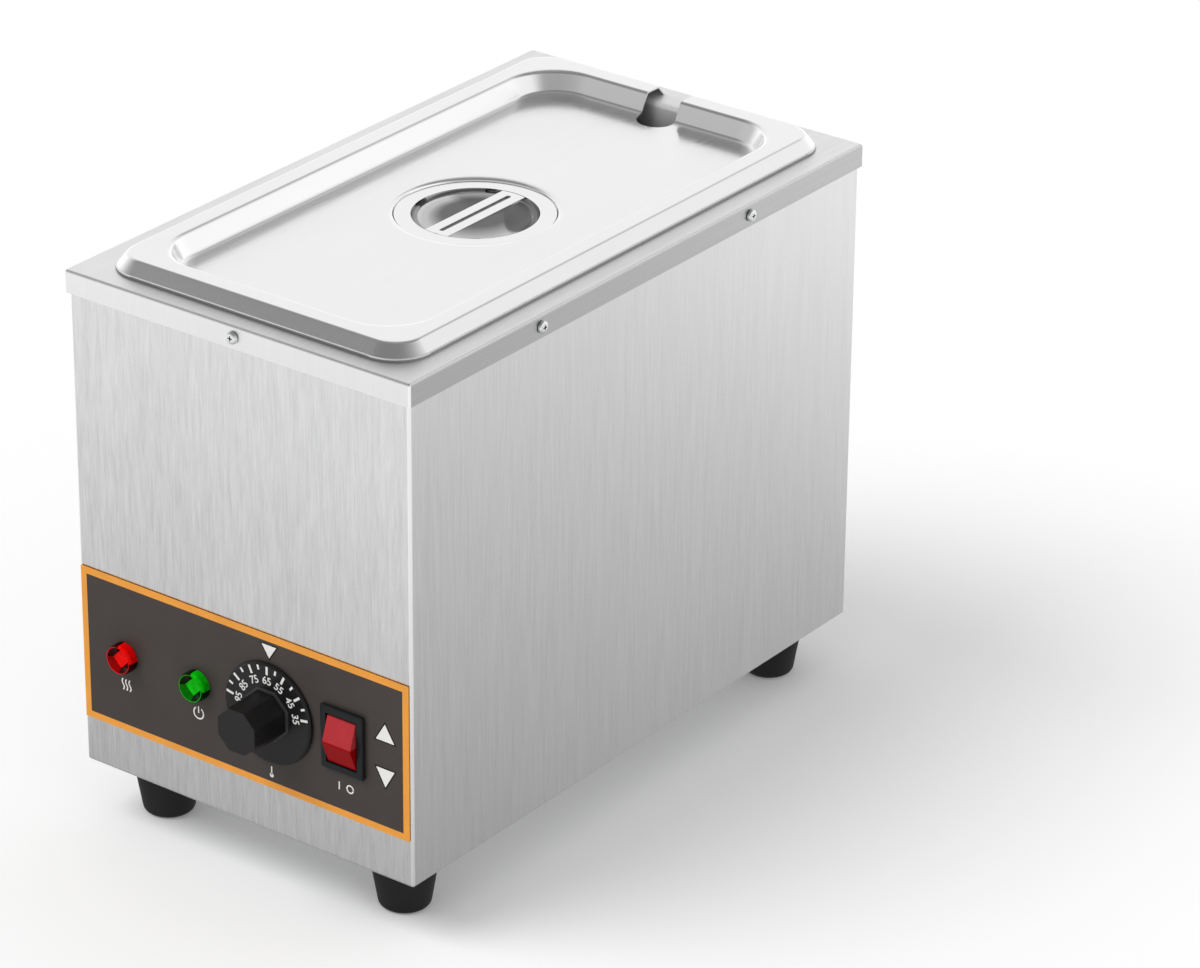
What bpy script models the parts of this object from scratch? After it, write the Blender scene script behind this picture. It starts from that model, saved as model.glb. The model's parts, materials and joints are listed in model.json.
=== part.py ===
"""Single-tank counter-top chocolate melter, as the separate pieces that it is assembled from.

Metres, +Z up, front towards -Y, and the origin on the counter under the middle of the
whole machine. Every piece hangs on one empty in the middle of the housing's bottom edge,
so the heights below are above that edge, and the feet reach under it.
"""

import math

import bmesh
import bpy
from mathutils import Euler, Matrix, Vector

# Shared clearances and cutter lengths
SEAT_GAP = 0.0003
CUT_OVERRUN = 0.002
WELD_DISTANCE = 0.00001

# Cabinet: deck, housing, base plate
DECK_WIDTH = 0.200
DECK_LENGTH = 0.345
DECK_SHEET = 0.001
DECK_SKIRT = 0.0112
DECK_FOLD = 0.0013
SKIRT_CLEARANCE = 0.0004
CABINET_HEIGHT = 0.252
HOUSING_SHEET = 0.0008
HOUSING_FOLD = 0.0014
HOUSING_FLANGE = 0.036
BASE_SHEET = 0.0008
BASE_INSET = 0.003
BASE_CORNER = 0.004
VENT_LENGTH = 0.036
VENT_WIDTH = 0.0035
VENT_PITCH = 0.010
VENTS_PER_GROUP = 4
VENT_GROUP_SPREAD = 0.080

# Feet and their screws
FOOT_HEIGHT = 0.0276
FOOT_TOP_RADIUS = 0.0167
FOOT_BOTTOM_RADIUS = 0.0121
FOOT_EDGE = 0.0016
FOOT_INSET = 0.0268
FOOT_RECESS_RADIUS = 0.0050
FOOT_RECESS_DEPTH = 0.0180
FOOT_SCREW_RADIUS = 0.0020
FOOT_SCREW_HEAD_RADIUS = 0.0041
FOOT_SCREW_HEAD = 0.0026
FOOT_SCREW_END = 0.0045

# Deck screws
DECK_SCREW_SPREAD = 0.0795
DECK_SCREW_RADIUS = 0.0014
DECK_SCREW_HEAD_RADIUS = 0.0030
DECK_SCREW_HEAD = 0.0018
DECK_SCREW_CROWN = 0.0009
DECK_SCREW_END = 0.0030
CROSS_LENGTH = 0.0032
CROSS_WIDTH = 0.0010
CROSS_TIP_WIDTH = 0.0006
CROSS_DEPTH = 0.0008

# Food pan. Its margins and stand-off give one third of a standard catering pan: 325 by 176 mm
# at the rim, and 100 mm deep
PAN_SIDE_MARGIN = 0.01175
PAN_END_MARGIN = 0.010
PAN_STANDOFF = 0.0281
PAN_SHEET = 0.0008
PAN_FLANGE = 0.0125
PAN_EDGE = 0.0013
PAN_EDGE_BEND = 0.0011
PAN_RIM_CORNER = 0.019
PAN_CORNER = 0.022
PAN_TAPER = 0.009
PAN_BEND = 0.005
PAN_FLOOR_CORNER = 0.018
PAN_FLOOR_BEND = 0.010

# Water tank under the deck, and the room between its floor and the thermostat
TANK_CLEARANCE = 0.0035
TANK_HEADROOM = 0.0204
TANK_SHEET = 0.0008
TANK_FLANGE = 0.009
TANK_BEND = 0.0016
TANK_FLOOR_BEND = 0.012

# Pan lid
LID_INSET = 0.00075
LID_SHEET = 0.0008
LID_CORNER = 0.018
LID_LIP_HEIGHT = 0.0047
LID_LIP_RUN = 0.0049
LID_LIP_BEND = 0.0016
LID_RIM = 0.0096
LID_RECESS_CORNER = 0.027
LID_RECESS_DEPTH = 0.010
LID_RECESS_RUN = 0.005
LID_RECESS_BEND = 0.0018
NOTCH_WIDTH = 0.020
NOTCH_REACH = 0.030

# Lid handle: pressed seat, dished cup and bridging bar
HANDLE_SEAT_RADIUS = 0.0389
HANDLE_SEAT_DROP = 0.0025
HANDLE_SEAT_RUN = 0.0006
HANDLE_HOLE_RADIUS = 0.0335
CUP_RADIUS = 0.0301
CUP_LIP = 0.0020
CUP_DEPTH = 0.015
CUP_SHEET = 0.0008
CUP_STEPS = 4
BAR_WIDTH = 0.0132
BAR_THICKNESS = 0.0012
BAR_GROOVE_WIDTH = 0.0016
BAR_GROOVE_DEPTH = 0.0006
BAR_GROOVE_STOP = 0.005

# Control label, and the row of controls on it. Their places across are shares of the width
LABEL_MARGIN = 0.00135
LABEL_HEIGHT = 0.079
LABEL_THICKNESS = 0.0005
CONTROL_HEIGHT = 0.0638
RED_LAMP_SHARE = -0.3560
GREEN_LAMP_SHARE = -0.1350
DIAL_SHARE = 0.0825
SWITCH_SHARE = 0.3005

# Lamps
LENS_RADIUS = 0.0075
LENS_HEIGHT = 0.0052
LENS_CROWN = 0.0016
LENS_STEM_RADIUS = 0.0034
LENS_STEM_LENGTH = 0.0040
LAMP_RADIUS = 0.0050
LAMP_LENGTH = 0.022
LAMP_NUT_RADIUS = 0.0080
LAMP_NUT_THICKNESS = 0.0035

# Thermostat knob and shaft
KNOB_GAP = 0.0004
SKIRT_RADIUS = 0.0255
SKIRT_THICKNESS = 0.0020
SKIRT_CHAMFER = 0.0010
SKIRT_WALL = 0.0014
SKIRT_HOLLOW = 0.0008
BOSS_RADIUS = 0.0060
GRIP_BASE_RADIUS = 0.0125
GRIP_END_RADIUS = 0.0118
GRIP_LENGTH = 0.0236
GRIP_EDGE = 0.0006
GRIP_SIDES = 8
SHAFT_RADIUS = 0.0030
SHAFT_FLAT = 0.0012
SHAFT_IN_KNOB = 0.0140
SHAFT_IN_BODY = 0.0060

# Thermostat behind the panel
THERMOSTAT_WIDTH = 0.033
THERMOSTAT_DEPTH = 0.026
THERMOSTAT_EDGE = 0.001
FRAME_LENGTH = 0.042
FRAME_WIDTH = 0.020
FRAME_CORNER = 0.003
FRAME_THICKNESS = 0.0012
FRAME_SCREW_PITCH = 0.028
FRAME_SCREW_RADIUS = 0.0015
FRAME_SCREW_HEAD_RADIUS = 0.0027
FRAME_SCREW_HEAD = 0.0008
BULB_RADIUS = 0.0030
BULB_LENGTH = 0.070
BULB_Y = 0.020
CLIP_LENGTH = 0.012
CLIP_SHEET = 0.0008
CLIP_FOOT = 0.006
CAPILLARY_RADIUS = 0.0010
CAPILLARY_BEND = 0.008

# Rocker switch
BEZEL_WIDTH = 0.0246
BEZEL_HEIGHT = 0.0324
BEZEL_THICKNESS = 0.0022
BEZEL_EDGE = 0.0008
SWITCH_BODY_WIDTH = 0.0216
SWITCH_BODY_HEIGHT = 0.0274
SWITCH_BODY_DEPTH = 0.024
ROCKER_WIDTH = 0.0164
ROCKER_HEIGHT = 0.0236
ROCKER_RIDGE = 0.0039
ROCKER_END_DROP = 0.0016
ROCKER_END_DEPTH = 0.0035
ROCKER_HEEL = 0.0040
ROCKER_HEEL_HEIGHT = 0.0090
ROCKER_EDGE = 0.0003
ROCKER_TILT = math.radians(6)
PIVOT_DEPTH = 0.0050
PIVOT_RADIUS = 0.0012
PIVOT_LENGTH = 0.0016
WELL_GAP = 0.0008
WELL_DEPTH = 0.0110
TAB_WIDTH = 0.0063
TAB_LENGTH = 0.0080
TAB_SHEET = 0.0008
TAB_SPREAD = 0.0050

# Heating element and its fittings
ELEMENT_RADIUS = 0.0040
ELEMENT_LIFT = 0.020
ELEMENT_SPREAD = 0.028
ELEMENT_END_INSET = 0.042
ELEMENT_BEND = 0.014
BUSHING_RADIUS = 0.0070
BUSHING_COLLAR_RADIUS = 0.0095
BUSHING_COLLAR = 0.0030
BUSHING_LENGTH = 0.016
GASKET_THICKNESS = 0.0015
ELEMENT_NUT_RADIUS = 0.0115
ELEMENT_NUT_THICKNESS = 0.0050
ELEMENT_TAIL = 0.006

# Cable gland at the back
GLAND_INSET = 0.0386
GLAND_HEIGHT = 0.045
GLAND_ENTRY_RADIUS = 0.0036
GLAND_BORE_RADIUS = 0.0045
GLAND_THREAD_RADIUS = 0.0074
GLAND_THREAD_LENGTH = 0.009
GLAND_HEX_RADIUS = 0.0115
GLAND_HEX = 0.0050
GLAND_SPIGOT = 0.0080
GLAND_SPIGOT_WALL = 0.0012
GLAND_SEAL_SEAT = 0.0050
GLAND_SEAL_REACH = 0.0030
GLAND_CAP_WALL = 0.0020
GLAND_CAP_CROWN = 0.0030
GLAND_CAP_LIP = 0.0006
GLAND_NUT_RADIUS = 0.0112
GLAND_NUT_THICKNESS = 0.0040

# Terminal block and earth stud on the rear flange, and the wires
BLOCK_WIDTH = 0.036
BLOCK_DEPTH = 0.020
BLOCK_HEIGHT = 0.016
BLOCK_SIDE_INSET = 0.0686
BLOCK_INSET = 0.006
BLOCK_EDGE = 0.0010
BLOCK_PITCH = 0.012
BLOCK_WELL_RADIUS = 0.0024
BLOCK_WELL_DEPTH = 0.006
EARTH_PITCH = 0.050
EARTH_RADIUS = 0.0020
EARTH_LENGTH = 0.014
EARTH_NUT_RADIUS = 0.0042
EARTH_NUT_THICKNESS = 0.0032
WIRE_RADIUS = 0.0013
WIRE_BEND = 0.009
WIRE_TAIL = 0.022
WIRE_OFFSET = 0.0025
WIRE_DROP = 0.006

# Counts of facets
CORNER_STEPS = 6
BEND_STEPS = 2
CROWN_STEPS = 2
ROUTE_STEPS = 3
ROUND_SIDES = 32
SMALL_SIDES = 16
TINY_SIDES = 12
HEX_SIDES = 6
SMOOTH_ANGLE = math.radians(35)

# Facings: which way the local +Z of a piece points
UPRIGHT = (0, 0, 0)
FRONT = (math.pi / 2, 0, 0)
RIGHT = (math.pi / 2, 0, math.pi / 2)
BACK = (math.pi / 2, 0, math.pi)
LEFT = (math.pi / 2, 0, -math.pi / 2)
SIDEWAYS = (0, math.pi / 2, 0)
CORNER_SIGNS = ((1, 1), (-1, 1), (-1, -1), (1, -1))

# Sizes worked out from the ones above
HOUSING_WIDTH = DECK_WIDTH - 2 * (DECK_SHEET + SKIRT_CLEARANCE)
HOUSING_LENGTH = DECK_LENGTH - 2 * (DECK_SHEET + SKIRT_CLEARANCE)
HOUSING_HEIGHT = CABINET_HEIGHT - DECK_SHEET - SEAT_GAP
HOUSING_FACE = HOUSING_LENGTH / 2
HOUSING_INSIDE = HOUSING_FACE - HOUSING_SHEET
FOOT_TOP = -SEAT_GAP - BASE_SHEET - SEAT_GAP
FLOOR = FOOT_TOP - FOOT_HEIGHT
LABEL_FACE = HOUSING_FACE + SEAT_GAP + LABEL_THICKNESS
LABEL_WIDTH = HOUSING_WIDTH - 2 * LABEL_MARGIN
RED_LAMP_X = RED_LAMP_SHARE * DECK_WIDTH
GREEN_LAMP_X = GREEN_LAMP_SHARE * DECK_WIDTH
DIAL_X = DIAL_SHARE * DECK_WIDTH
SWITCH_X = SWITCH_SHARE * DECK_WIDTH
GLAND_X = GLAND_INSET - HOUSING_WIDTH / 2
BLOCK_X = HOUSING_WIDTH / 2 - BLOCK_SIDE_INSET
EARTH_X = BLOCK_X - EARTH_PITCH
PAN_WIDTH = DECK_WIDTH - 2 * PAN_SIDE_MARGIN
PAN_LENGTH = DECK_LENGTH - 2 * PAN_END_MARGIN
PAN_SEAT = CABINET_HEIGHT + SEAT_GAP
PAN_RIM_TOP = PAN_SEAT + PAN_EDGE
PAN_WALL_X = PAN_WIDTH / 2 - PAN_FLANGE
PAN_WALL_Y = PAN_LENGTH / 2 - PAN_FLANGE
OPENING_X = PAN_WALL_X + PAN_SHEET + TANK_CLEARANCE
OPENING_Y = PAN_WALL_Y + PAN_SHEET + TANK_CLEARANCE
OPENING_CORNER = PAN_CORNER + PAN_SHEET + TANK_CLEARANCE
TANK_TOP = CABINET_HEIGHT - DECK_SHEET - SEAT_GAP
TANK_FLOOR = CONTROL_HEIGHT + THERMOSTAT_WIDTH / 2 + TANK_HEADROOM
TANK_DEPTH = TANK_TOP - TANK_FLOOR
TANK_UNDERSIDE = TANK_FLOOR - TANK_SHEET
ELEMENT_HEIGHT = TANK_FLOOR + ELEMENT_LIFT
PAN_FLOOR = ELEMENT_HEIGHT + ELEMENT_RADIUS + PAN_STANDOFF + PAN_SHEET
LID_WIDTH = PAN_WIDTH - 2 * LID_INSET
LID_LENGTH = PAN_LENGTH - 2 * LID_INSET
LID_LIP_SLANT = math.hypot(LID_LIP_RUN, LID_LIP_HEIGHT)
LID_LIP_BOTTOM = PAN_RIM_TOP + SEAT_GAP + LID_SHEET * LID_LIP_RUN / LID_LIP_SLANT
LID_TOP = LID_LIP_BOTTOM + LID_LIP_HEIGHT
LID_PANEL = LID_TOP - LID_RECESS_DEPTH
HANDLE_SEAT = LID_PANEL - HANDLE_SEAT_DROP
CUP_TOP = HANDLE_SEAT + SEAT_GAP + CUP_SHEET
CUP_FLANGE_RADIUS = HANDLE_SEAT_RADIUS - HANDLE_SEAT_RUN - SEAT_GAP
KNOB_FACE = LABEL_FACE + KNOB_GAP + GRIP_LENGTH
GLAND_SPIGOT_START = SEAT_GAP + GLAND_HEX
GLAND_CAP_START = GLAND_SPIGOT_START + SEAT_GAP
GLAND_SHOULDER = GLAND_SPIGOT_START + GLAND_SPIGOT + GLAND_SEAL_REACH + SEAT_GAP
GLAND_END = GLAND_SHOULDER + GLAND_CAP_CROWN
HOUSING_Y = (KNOB_FACE - HOUSING_FACE - GLAND_END) / 2
FRAME_FACE = HOUSING_INSIDE - SEAT_GAP
THERMOSTAT_FACE = FRAME_FACE - FRAME_THICKNESS - SEAT_GAP
THERMOSTAT_BACK = THERMOSTAT_FACE - THERMOSTAT_DEPTH
BEZEL_FACE = SEAT_GAP + BEZEL_THICKNESS
SWITCH_TAB_END = LABEL_FACE - SWITCH_BODY_DEPTH - TAB_LENGTH
LAMP_BACK = LABEL_FACE - LAMP_LENGTH
ELEMENT_END = OPENING_Y - ELEMENT_END_INSET
BUSHING_SEAT = TANK_FLOOR + SEAT_GAP + GASKET_THICKNESS + SEAT_GAP
ELEMENT_BOTTOM = BUSHING_SEAT - BUSHING_LENGTH - ELEMENT_TAIL
BULB_HEIGHT = TANK_UNDERSIDE - SEAT_GAP - BULB_RADIUS
BLOCK_BACK = HOUSING_INSIDE - BLOCK_INSET
BLOCK_Y = BLOCK_BACK - BLOCK_DEPTH / 2
BLOCK_FRONT = BLOCK_BACK - BLOCK_DEPTH
BLOCK_BOTTOM = HOUSING_SHEET + SEAT_GAP
WIRE_PORT_HEIGHT = BLOCK_BOTTOM + BLOCK_HEIGHT / 2


# Collections, materials and placing


def clear_scene():
    """Removes what a new file starts with."""
    for obj in list(bpy.data.objects):
        bpy.data.objects.remove(obj, do_unlink=True)


def make_collection(name):
    """A collection in the scene."""
    collection = bpy.data.collections.new(name)
    bpy.context.scene.collection.children.link(collection)
    return collection


def make_material(name, colour, roughness, metallic):
    """One Principled material."""
    material = bpy.data.materials.new(name)
    material.use_nodes = True
    shader = material.node_tree.nodes["Principled BSDF"]
    shader.inputs["Base Color"].default_value = (*colour, 1)
    shader.inputs["Roughness"].default_value = roughness
    shader.inputs["Metallic"].default_value = metallic
    return material


clear_scene()
PARTS = make_collection("chocolate_melter")
CUTTERS = make_collection("cutters")
HOUSING = bpy.data.objects.new("housing_bottom_centre", None)
PARTS.objects.link(HOUSING)
HOUSING.location = (0, HOUSING_Y, -FLOOR)

BRUSHED_STEEL = make_material("brushed_steel", (0.72, 0.72, 0.73), 0.35, 1)
POLISHED_STEEL = make_material("polished_steel", (0.80, 0.80, 0.81), 0.22, 1)
ZINC_STEEL = make_material("zinc_plated_steel", (0.60, 0.61, 0.62), 0.40, 1)
BLACK_RUBBER = make_material("black_rubber", (0.024, 0.024, 0.024), 0.75, 0)
LABEL_GREY = make_material("label_grey", (0.069, 0.056, 0.051), 0.45, 0)
RED_LENS = make_material("red_lens", (0.70, 0.010, 0.012), 0.15, 0)
GREEN_LENS = make_material("green_lens", (0.010, 0.42, 0.020), 0.15, 0)
WHITE_NYLON = make_material("white_nylon", (0.75, 0.74, 0.70), 0.50, 0)
BLACK_BAKELITE = make_material("black_bakelite", (0.022, 0.022, 0.023), 0.42, 0)
BLACK_NYLON = make_material("black_nylon", (0.025, 0.028, 0.029), 0.45, 0)
ROCKER_RED = make_material("rocker_red", (0.46, 0.026, 0.037), 0.30, 0)
BRASS = make_material("brass", (0.70, 0.50, 0.22), 0.30, 1)
SILICONE = make_material("red_silicone", (0.42, 0.09, 0.05), 0.60, 0)
COPPER = make_material("copper", (0.72, 0.40, 0.27), 0.35, 1)
WIRE_BROWN = make_material("wire_brown", (0.16, 0.07, 0.03), 0.50, 0)
WIRE_BLUE = make_material("wire_blue", (0.03, 0.10, 0.40), 0.50, 0)


def place(obj, location, rotation):
    """Hangs an object on the housing's empty, at a place given from there."""
    obj.parent = HOUSING
    obj.location = location
    obj.rotation_euler = rotation


def add_part(name, data, material, location=(0, 0, 0), rotation=UPRIGHT):
    """A sub-part from a mesh or a curve. A mesh is smooth between its sharp edges."""
    obj = bpy.data.objects.new(name, data)
    PARTS.objects.link(obj)
    place(obj, location, rotation)
    obj.data.materials.clear()
    obj.data.materials.append(material)
    if obj.type == "MESH":
        obj.data.shade_smooth()
        obj.data.set_sharp_from_angle(angle=SMOOTH_ANGLE)
    return obj


def add_cutter(name, data, location=(0, 0, 0), rotation=UPRIGHT):
    """A shape that only cuts or joins others."""
    obj = bpy.data.objects.new(name, data)
    CUTTERS.objects.link(obj)
    place(obj, location, rotation)
    obj.hide_render = True
    obj.display_type = "WIRE"
    return obj


def combine(obj, other, operation="DIFFERENCE"):
    """A Boolean modifier."""
    modifier = obj.modifiers.new(f"{operation.lower()}_{other.name}", "BOOLEAN")
    modifier.operation = operation
    modifier.object = other
    modifier.solver = "EXACT"


def thicken(obj, thickness):
    """Gives an open surface its sheet thickness, behind its face."""
    modifier = obj.modifiers.new("sheet", "SOLIDIFY")
    modifier.thickness = thickness
    modifier.offset = -1
    modifier.use_even_offset = True


def soften(obj, width):
    """Rounds the sharp edges."""
    modifier = obj.modifiers.new("edges", "BEVEL")
    modifier.width = width
    modifier.segments = BEND_STEPS
    modifier.limit_method = "ANGLE"
    modifier.angle_limit = SMOOTH_ANGLE


def finished_mesh(template):
    """The welded mesh that a template's curve or modifiers give. The template goes."""
    bpy.context.view_layer.update()
    graph = bpy.context.evaluated_depsgraph_get()
    mesh = bpy.data.meshes.new_from_object(template.evaluated_get(graph))
    shape = bmesh.new()
    shape.from_mesh(mesh)
    bmesh.ops.remove_doubles(shape, verts=shape.verts, dist=WELD_DISTANCE)
    shape.to_mesh(mesh)
    shape.free()
    bpy.data.objects.remove(template, do_unlink=True)
    return mesh


def mesh_from(shape, name):
    """A mesh from a bmesh, which is freed."""
    mesh = bpy.data.meshes.new(name)
    shape.to_mesh(mesh)
    shape.free()
    return mesh


# Outlines


def rounded_rectangle(half_x, half_y, corner, steps=CORNER_STEPS):
    """Points of a rounded rectangle, counter-clockwise. Three like sizes give a circle."""
    points = []
    for quarter, (sign_x, sign_y) in enumerate(CORNER_SIGNS):
        for step in range(steps + 1):
            angle = (quarter + step / steps) * math.pi / 2
            x = sign_x * (half_x - corner) + corner * math.cos(angle)
            y = sign_y * (half_y - corner) + corner * math.sin(angle)
            points.append((x, y))
    return points


def rectangle(width, height, centre=(0, 0)):
    """Corners of a rectangle, counter-clockwise."""
    return [
        (centre[0] + sign_x * width / 2, centre[1] + sign_y * height / 2)
        for sign_x, sign_y in CORNER_SIGNS
    ]


def polygon(radius, sides, centre=(0, 0)):
    """Points of a regular polygon, counter-clockwise."""
    angles = [2 * math.pi * side / sides for side in range(sides)]
    return [
        (centre[0] + radius * math.cos(angle), centre[1] + radius * math.sin(angle))
        for angle in angles
    ]


def slot(length, width, centre):
    """Points of a slot with round ends, along X."""
    radius = width / 2
    straight = length / 2 - radius
    points = []
    for end in (1, -1):
        for step in range(ROUTE_STEPS + 1):
            angle = (step / ROUTE_STEPS - 1 / 2) * math.pi
            x = end * (straight + radius * math.cos(angle))
            y = end * radius * math.sin(angle)
            points.append((centre[0] + x, centre[1] + y))
    return points


def d_outline(radius, flat):
    """Points of a circle with one flat side at +X."""
    half_angle = math.acos(flat / radius)
    points = []
    for step in range(SMALL_SIDES + 1):
        angle = half_angle + 2 * (math.pi - half_angle) * step / SMALL_SIDES
        points.append((radius * math.cos(angle), radius * math.sin(angle)))
    return points


def notch_outline():
    """Points of the ladle notch in the lid: round inside, open at the back edge."""
    radius = NOTCH_WIDTH / 2
    middle = LID_LENGTH / 2 - NOTCH_REACH + radius
    outside = LID_LENGTH / 2 + CUT_OVERRUN
    points = [(radius, outside), (-radius, outside)]
    for step in range(SMALL_SIDES + 1):
        angle = math.pi + math.pi * step / SMALL_SIDES
        points.append((radius * math.cos(angle), middle + radius * math.sin(angle)))
    return points


def bar_outline():
    """Points of the handle bar, whose ends follow the sides of the cup's mouth."""
    half_width = BAR_WIDTH / 2
    tip = CUP_RADIUS - SEAT_GAP
    shoulder = tip - half_width * math.tan(math.pi / 4 / CORNER_STEPS)
    return [
        (half_width, -shoulder),
        (half_width, shoulder),
        (0, tip),
        (-half_width, shoulder),
        (-half_width, -shoulder),
        (0, -tip),
    ]


def cross_outline():
    """Points of a cross recess, whose arms taper towards their tips."""
    arm = CROSS_LENGTH / 2
    edge = CROSS_WIDTH / 2
    tip = CROSS_TIP_WIDTH / 2
    points = []
    for sign_x, sign_y in CORNER_SIGNS:
        corner = [
            (sign_x * arm, sign_y * tip),
            (sign_x * edge, sign_y * edge),
            (sign_x * tip, sign_y * arm),
        ]
        points += corner if sign_x * sign_y > 0 else corner[::-1]
    return points


def rocker_outline():
    """Points of the rocker from its side, as (upwards, outwards) from its pivot."""
    half = ROCKER_HEIGHT / 2
    end = PIVOT_DEPTH - ROCKER_END_DROP
    ridge = PIVOT_DEPTH + ROCKER_RIDGE
    heel = ROCKER_HEEL_HEIGHT / 2
    return [
        (half, end),
        (0, ridge),
        (-half, end),
        (-half, end - ROCKER_END_DEPTH),
        (-heel, -ROCKER_HEEL),
        (heel, -ROCKER_HEEL),
        (half, end - ROCKER_END_DEPTH),
    ]


def clip_path():
    """The inside of the bulb clip from end to end, as (across, up) from the bulb's middle."""
    radius = BULB_RADIUS + SEAT_GAP
    top = BULB_RADIUS
    points = [(-radius - CLIP_FOOT, top), (-radius, top)]
    for step in range(TINY_SIDES // 2 + 1):
        angle = math.pi + math.pi * step / (TINY_SIDES // 2)
        points.append((radius * math.cos(angle), radius * math.sin(angle)))
    return points + [(radius, top), (radius + CLIP_FOOT, top)]


def rounded_route(corners, radius):
    """Straight runs between the corners, with an arc in place of each inner one."""
    corners = [Vector(corner) for corner in corners]
    route = [corners[0]]
    for before, corner, after in zip(corners, corners[1:], corners[2:]):
        back = (before - corner).normalized()
        ahead = (after - corner).normalized()
        half_angle = back.angle(ahead) / 2
        middle = corner + (back + ahead).normalized() * (radius / math.sin(half_angle))
        reach = radius / math.tan(half_angle)
        first = corner + back * reach - middle
        last = corner + ahead * reach - middle
        for step in range(ROUTE_STEPS + 1):
            route.append(middle + first.slerp(last, step / ROUTE_STEPS).normalized() * radius)
    route.append(corners[-1])
    return route


# Shapes


def box_mesh(name, size, centre=(0, 0, 0)):
    """A box of the given size about a centre."""
    shape = bmesh.new()
    bmesh.ops.create_cube(shape, size=1)
    bmesh.ops.scale(shape, vec=size, verts=shape.verts)
    bmesh.ops.translate(shape, vec=centre, verts=shape.verts)
    return mesh_from(shape, name)


def round_mesh(name, radius, low, high, sides=SMALL_SIDES, end_radius=None):
    """A cylinder, a cone or, with few sides, a prism along local Z, with a flat at +X."""
    shape = bmesh.new()
    bmesh.ops.create_cone(
        shape,
        cap_ends=True,
        segments=sides,
        radius1=radius,
        radius2=end_radius or radius,
        depth=high - low,
    )
    half_side = Matrix.Rotation(math.pi / sides, 3, "Z")
    bmesh.ops.rotate(shape, cent=(0, 0, 0), matrix=half_side, verts=shape.verts)
    bmesh.ops.translate(shape, vec=(0, 0, (low + high) / 2), verts=shape.verts)
    return mesh_from(shape, name)


def turned_mesh(name, profile, sides=ROUND_SIDES):
    """A shape turned about Z. Its profile of (radius, height) runs down its outer side."""
    count = len(profile)
    edges = [(k, k + 1) for k in range(count - 1)]
    if profile[0][0] > 0:
        edges.append((count - 1, 0))
    mesh = bpy.data.meshes.new(name)
    mesh.from_pydata([(radius, 0, height) for radius, height in profile], edges, [])
    template = bpy.data.objects.new(f"{name}_profile", mesh)
    PARTS.objects.link(template)
    modifier = template.modifiers.new("turn", "SCREW")
    modifier.angle = 2 * math.pi
    modifier.steps = sides
    modifier.render_steps = sides
    modifier.use_merge_vertices = True
    modifier.merge_threshold = WELD_DISTANCE
    return finished_mesh(template)


def crown_profile(radius, top, crown):
    """The top of a turned profile: flat in the middle, with a rounded edge."""
    points = [(0, top)]
    for step in range(CROWN_STEPS + 1):
        angle = math.pi / 2 * step / CROWN_STEPS
        points.append(
            (radius - crown + crown * math.sin(angle), top - crown + crown * math.cos(angle))
        )
    return points


def flat_curve(name, outlines, thickness):
    """A 2D curve with a thickness. Its first outline is the outside, the others are holes."""
    curve = bpy.data.curves.new(name, "CURVE")
    curve.dimensions = "2D"
    curve.fill_mode = "BOTH"
    curve.extrude = thickness / 2
    for outline in outlines:
        spline = curve.splines.new("POLY")
        spline.points.add(len(outline) - 1)
        spline.use_cyclic_u = True
        for point, (x, y) in zip(spline.points, outline):
            point.co = (x, y, 0, 1)
    return curve


def prism_mesh(name, outlines, thickness):
    """A mesh of flat outlines with a thickness about local Z."""
    template = bpy.data.objects.new(f"{name}_outline", flat_curve(name, outlines, thickness))
    PARTS.objects.link(template)
    return finished_mesh(template)


def side_prism_mesh(name, outline, width):
    """A mesh of an outline in the local YZ plane with a width about local X."""
    mesh = prism_mesh(name, [outline], width)
    for vertex in mesh.vertices:
        up, out, across = vertex.co
        vertex.co = (across, up, out)
    return mesh


def tube_curve(name, route, radius):
    """A round tube along a route of points."""
    curve = bpy.data.curves.new(name, "CURVE")
    curve.dimensions = "3D"
    curve.bevel_depth = radius
    curve.bevel_resolution = 2
    curve.use_fill_caps = True
    spline = curve.splines.new("POLY")
    spline.points.add(len(route) - 1)
    for point, place_on_route in zip(spline.points, route):
        point.co = (*place_on_route, 1)
    return curve


def ring(half_x, half_y, corner, height):
    """One rounded rectangle of a pressing."""
    return Vector((half_x, half_y, corner, height))


def round_ring(radius, height):
    """One circle of a pressing."""
    return ring(radius, radius, radius, height)


def inset(outer, distance, drop=0):
    """A ring inside another one by the same distance all round, and lower by a drop."""
    return outer - Vector((distance, distance, distance, drop))


def bent(rings, reaches):
    """Rounds a pressing at its inner rings. Each bend starts and ends its reach away."""
    smooth = [rings[0]]
    for before, corner, after, reach in zip(rings, rings[1:], rings[2:], reaches):
        back = before - corner
        ahead = after - corner
        start = corner + back * (reach / math.hypot(back[0], back[3]))
        end = corner + ahead * (reach / math.hypot(ahead[0], ahead[3]))
        for step in range(BEND_STEPS + 1):
            share = step / BEND_STEPS
            smooth.append(start.lerp(corner, share).lerp(corner.lerp(end, share), share))
    smooth.append(rings[-1])
    return smooth


def pressing(name, rings, thickness, material, floor=True):
    """Pressed sheet: a loft from its outer ring to its inner one, with its face up."""
    shape = bmesh.new()
    loops = []
    for half_x, half_y, corner, height in rings:
        outline = rounded_rectangle(half_x, half_y, corner)
        loops.append([shape.verts.new((x, y, height)) for x, y in outline])
    for outer, inner in zip(loops, loops[1:]):
        for k, vertex in enumerate(outer):
            after = (k + 1) % len(outer)
            shape.faces.new((vertex, outer[after], inner[after], inner[k]))
    if floor:
        shape.faces.new(loops[-1])
    bmesh.ops.remove_doubles(shape, verts=shape.verts, dist=WELD_DISTANCE)
    obj = add_part(name, mesh_from(shape, name), material)
    thicken(obj, thickness)
    return obj


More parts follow.
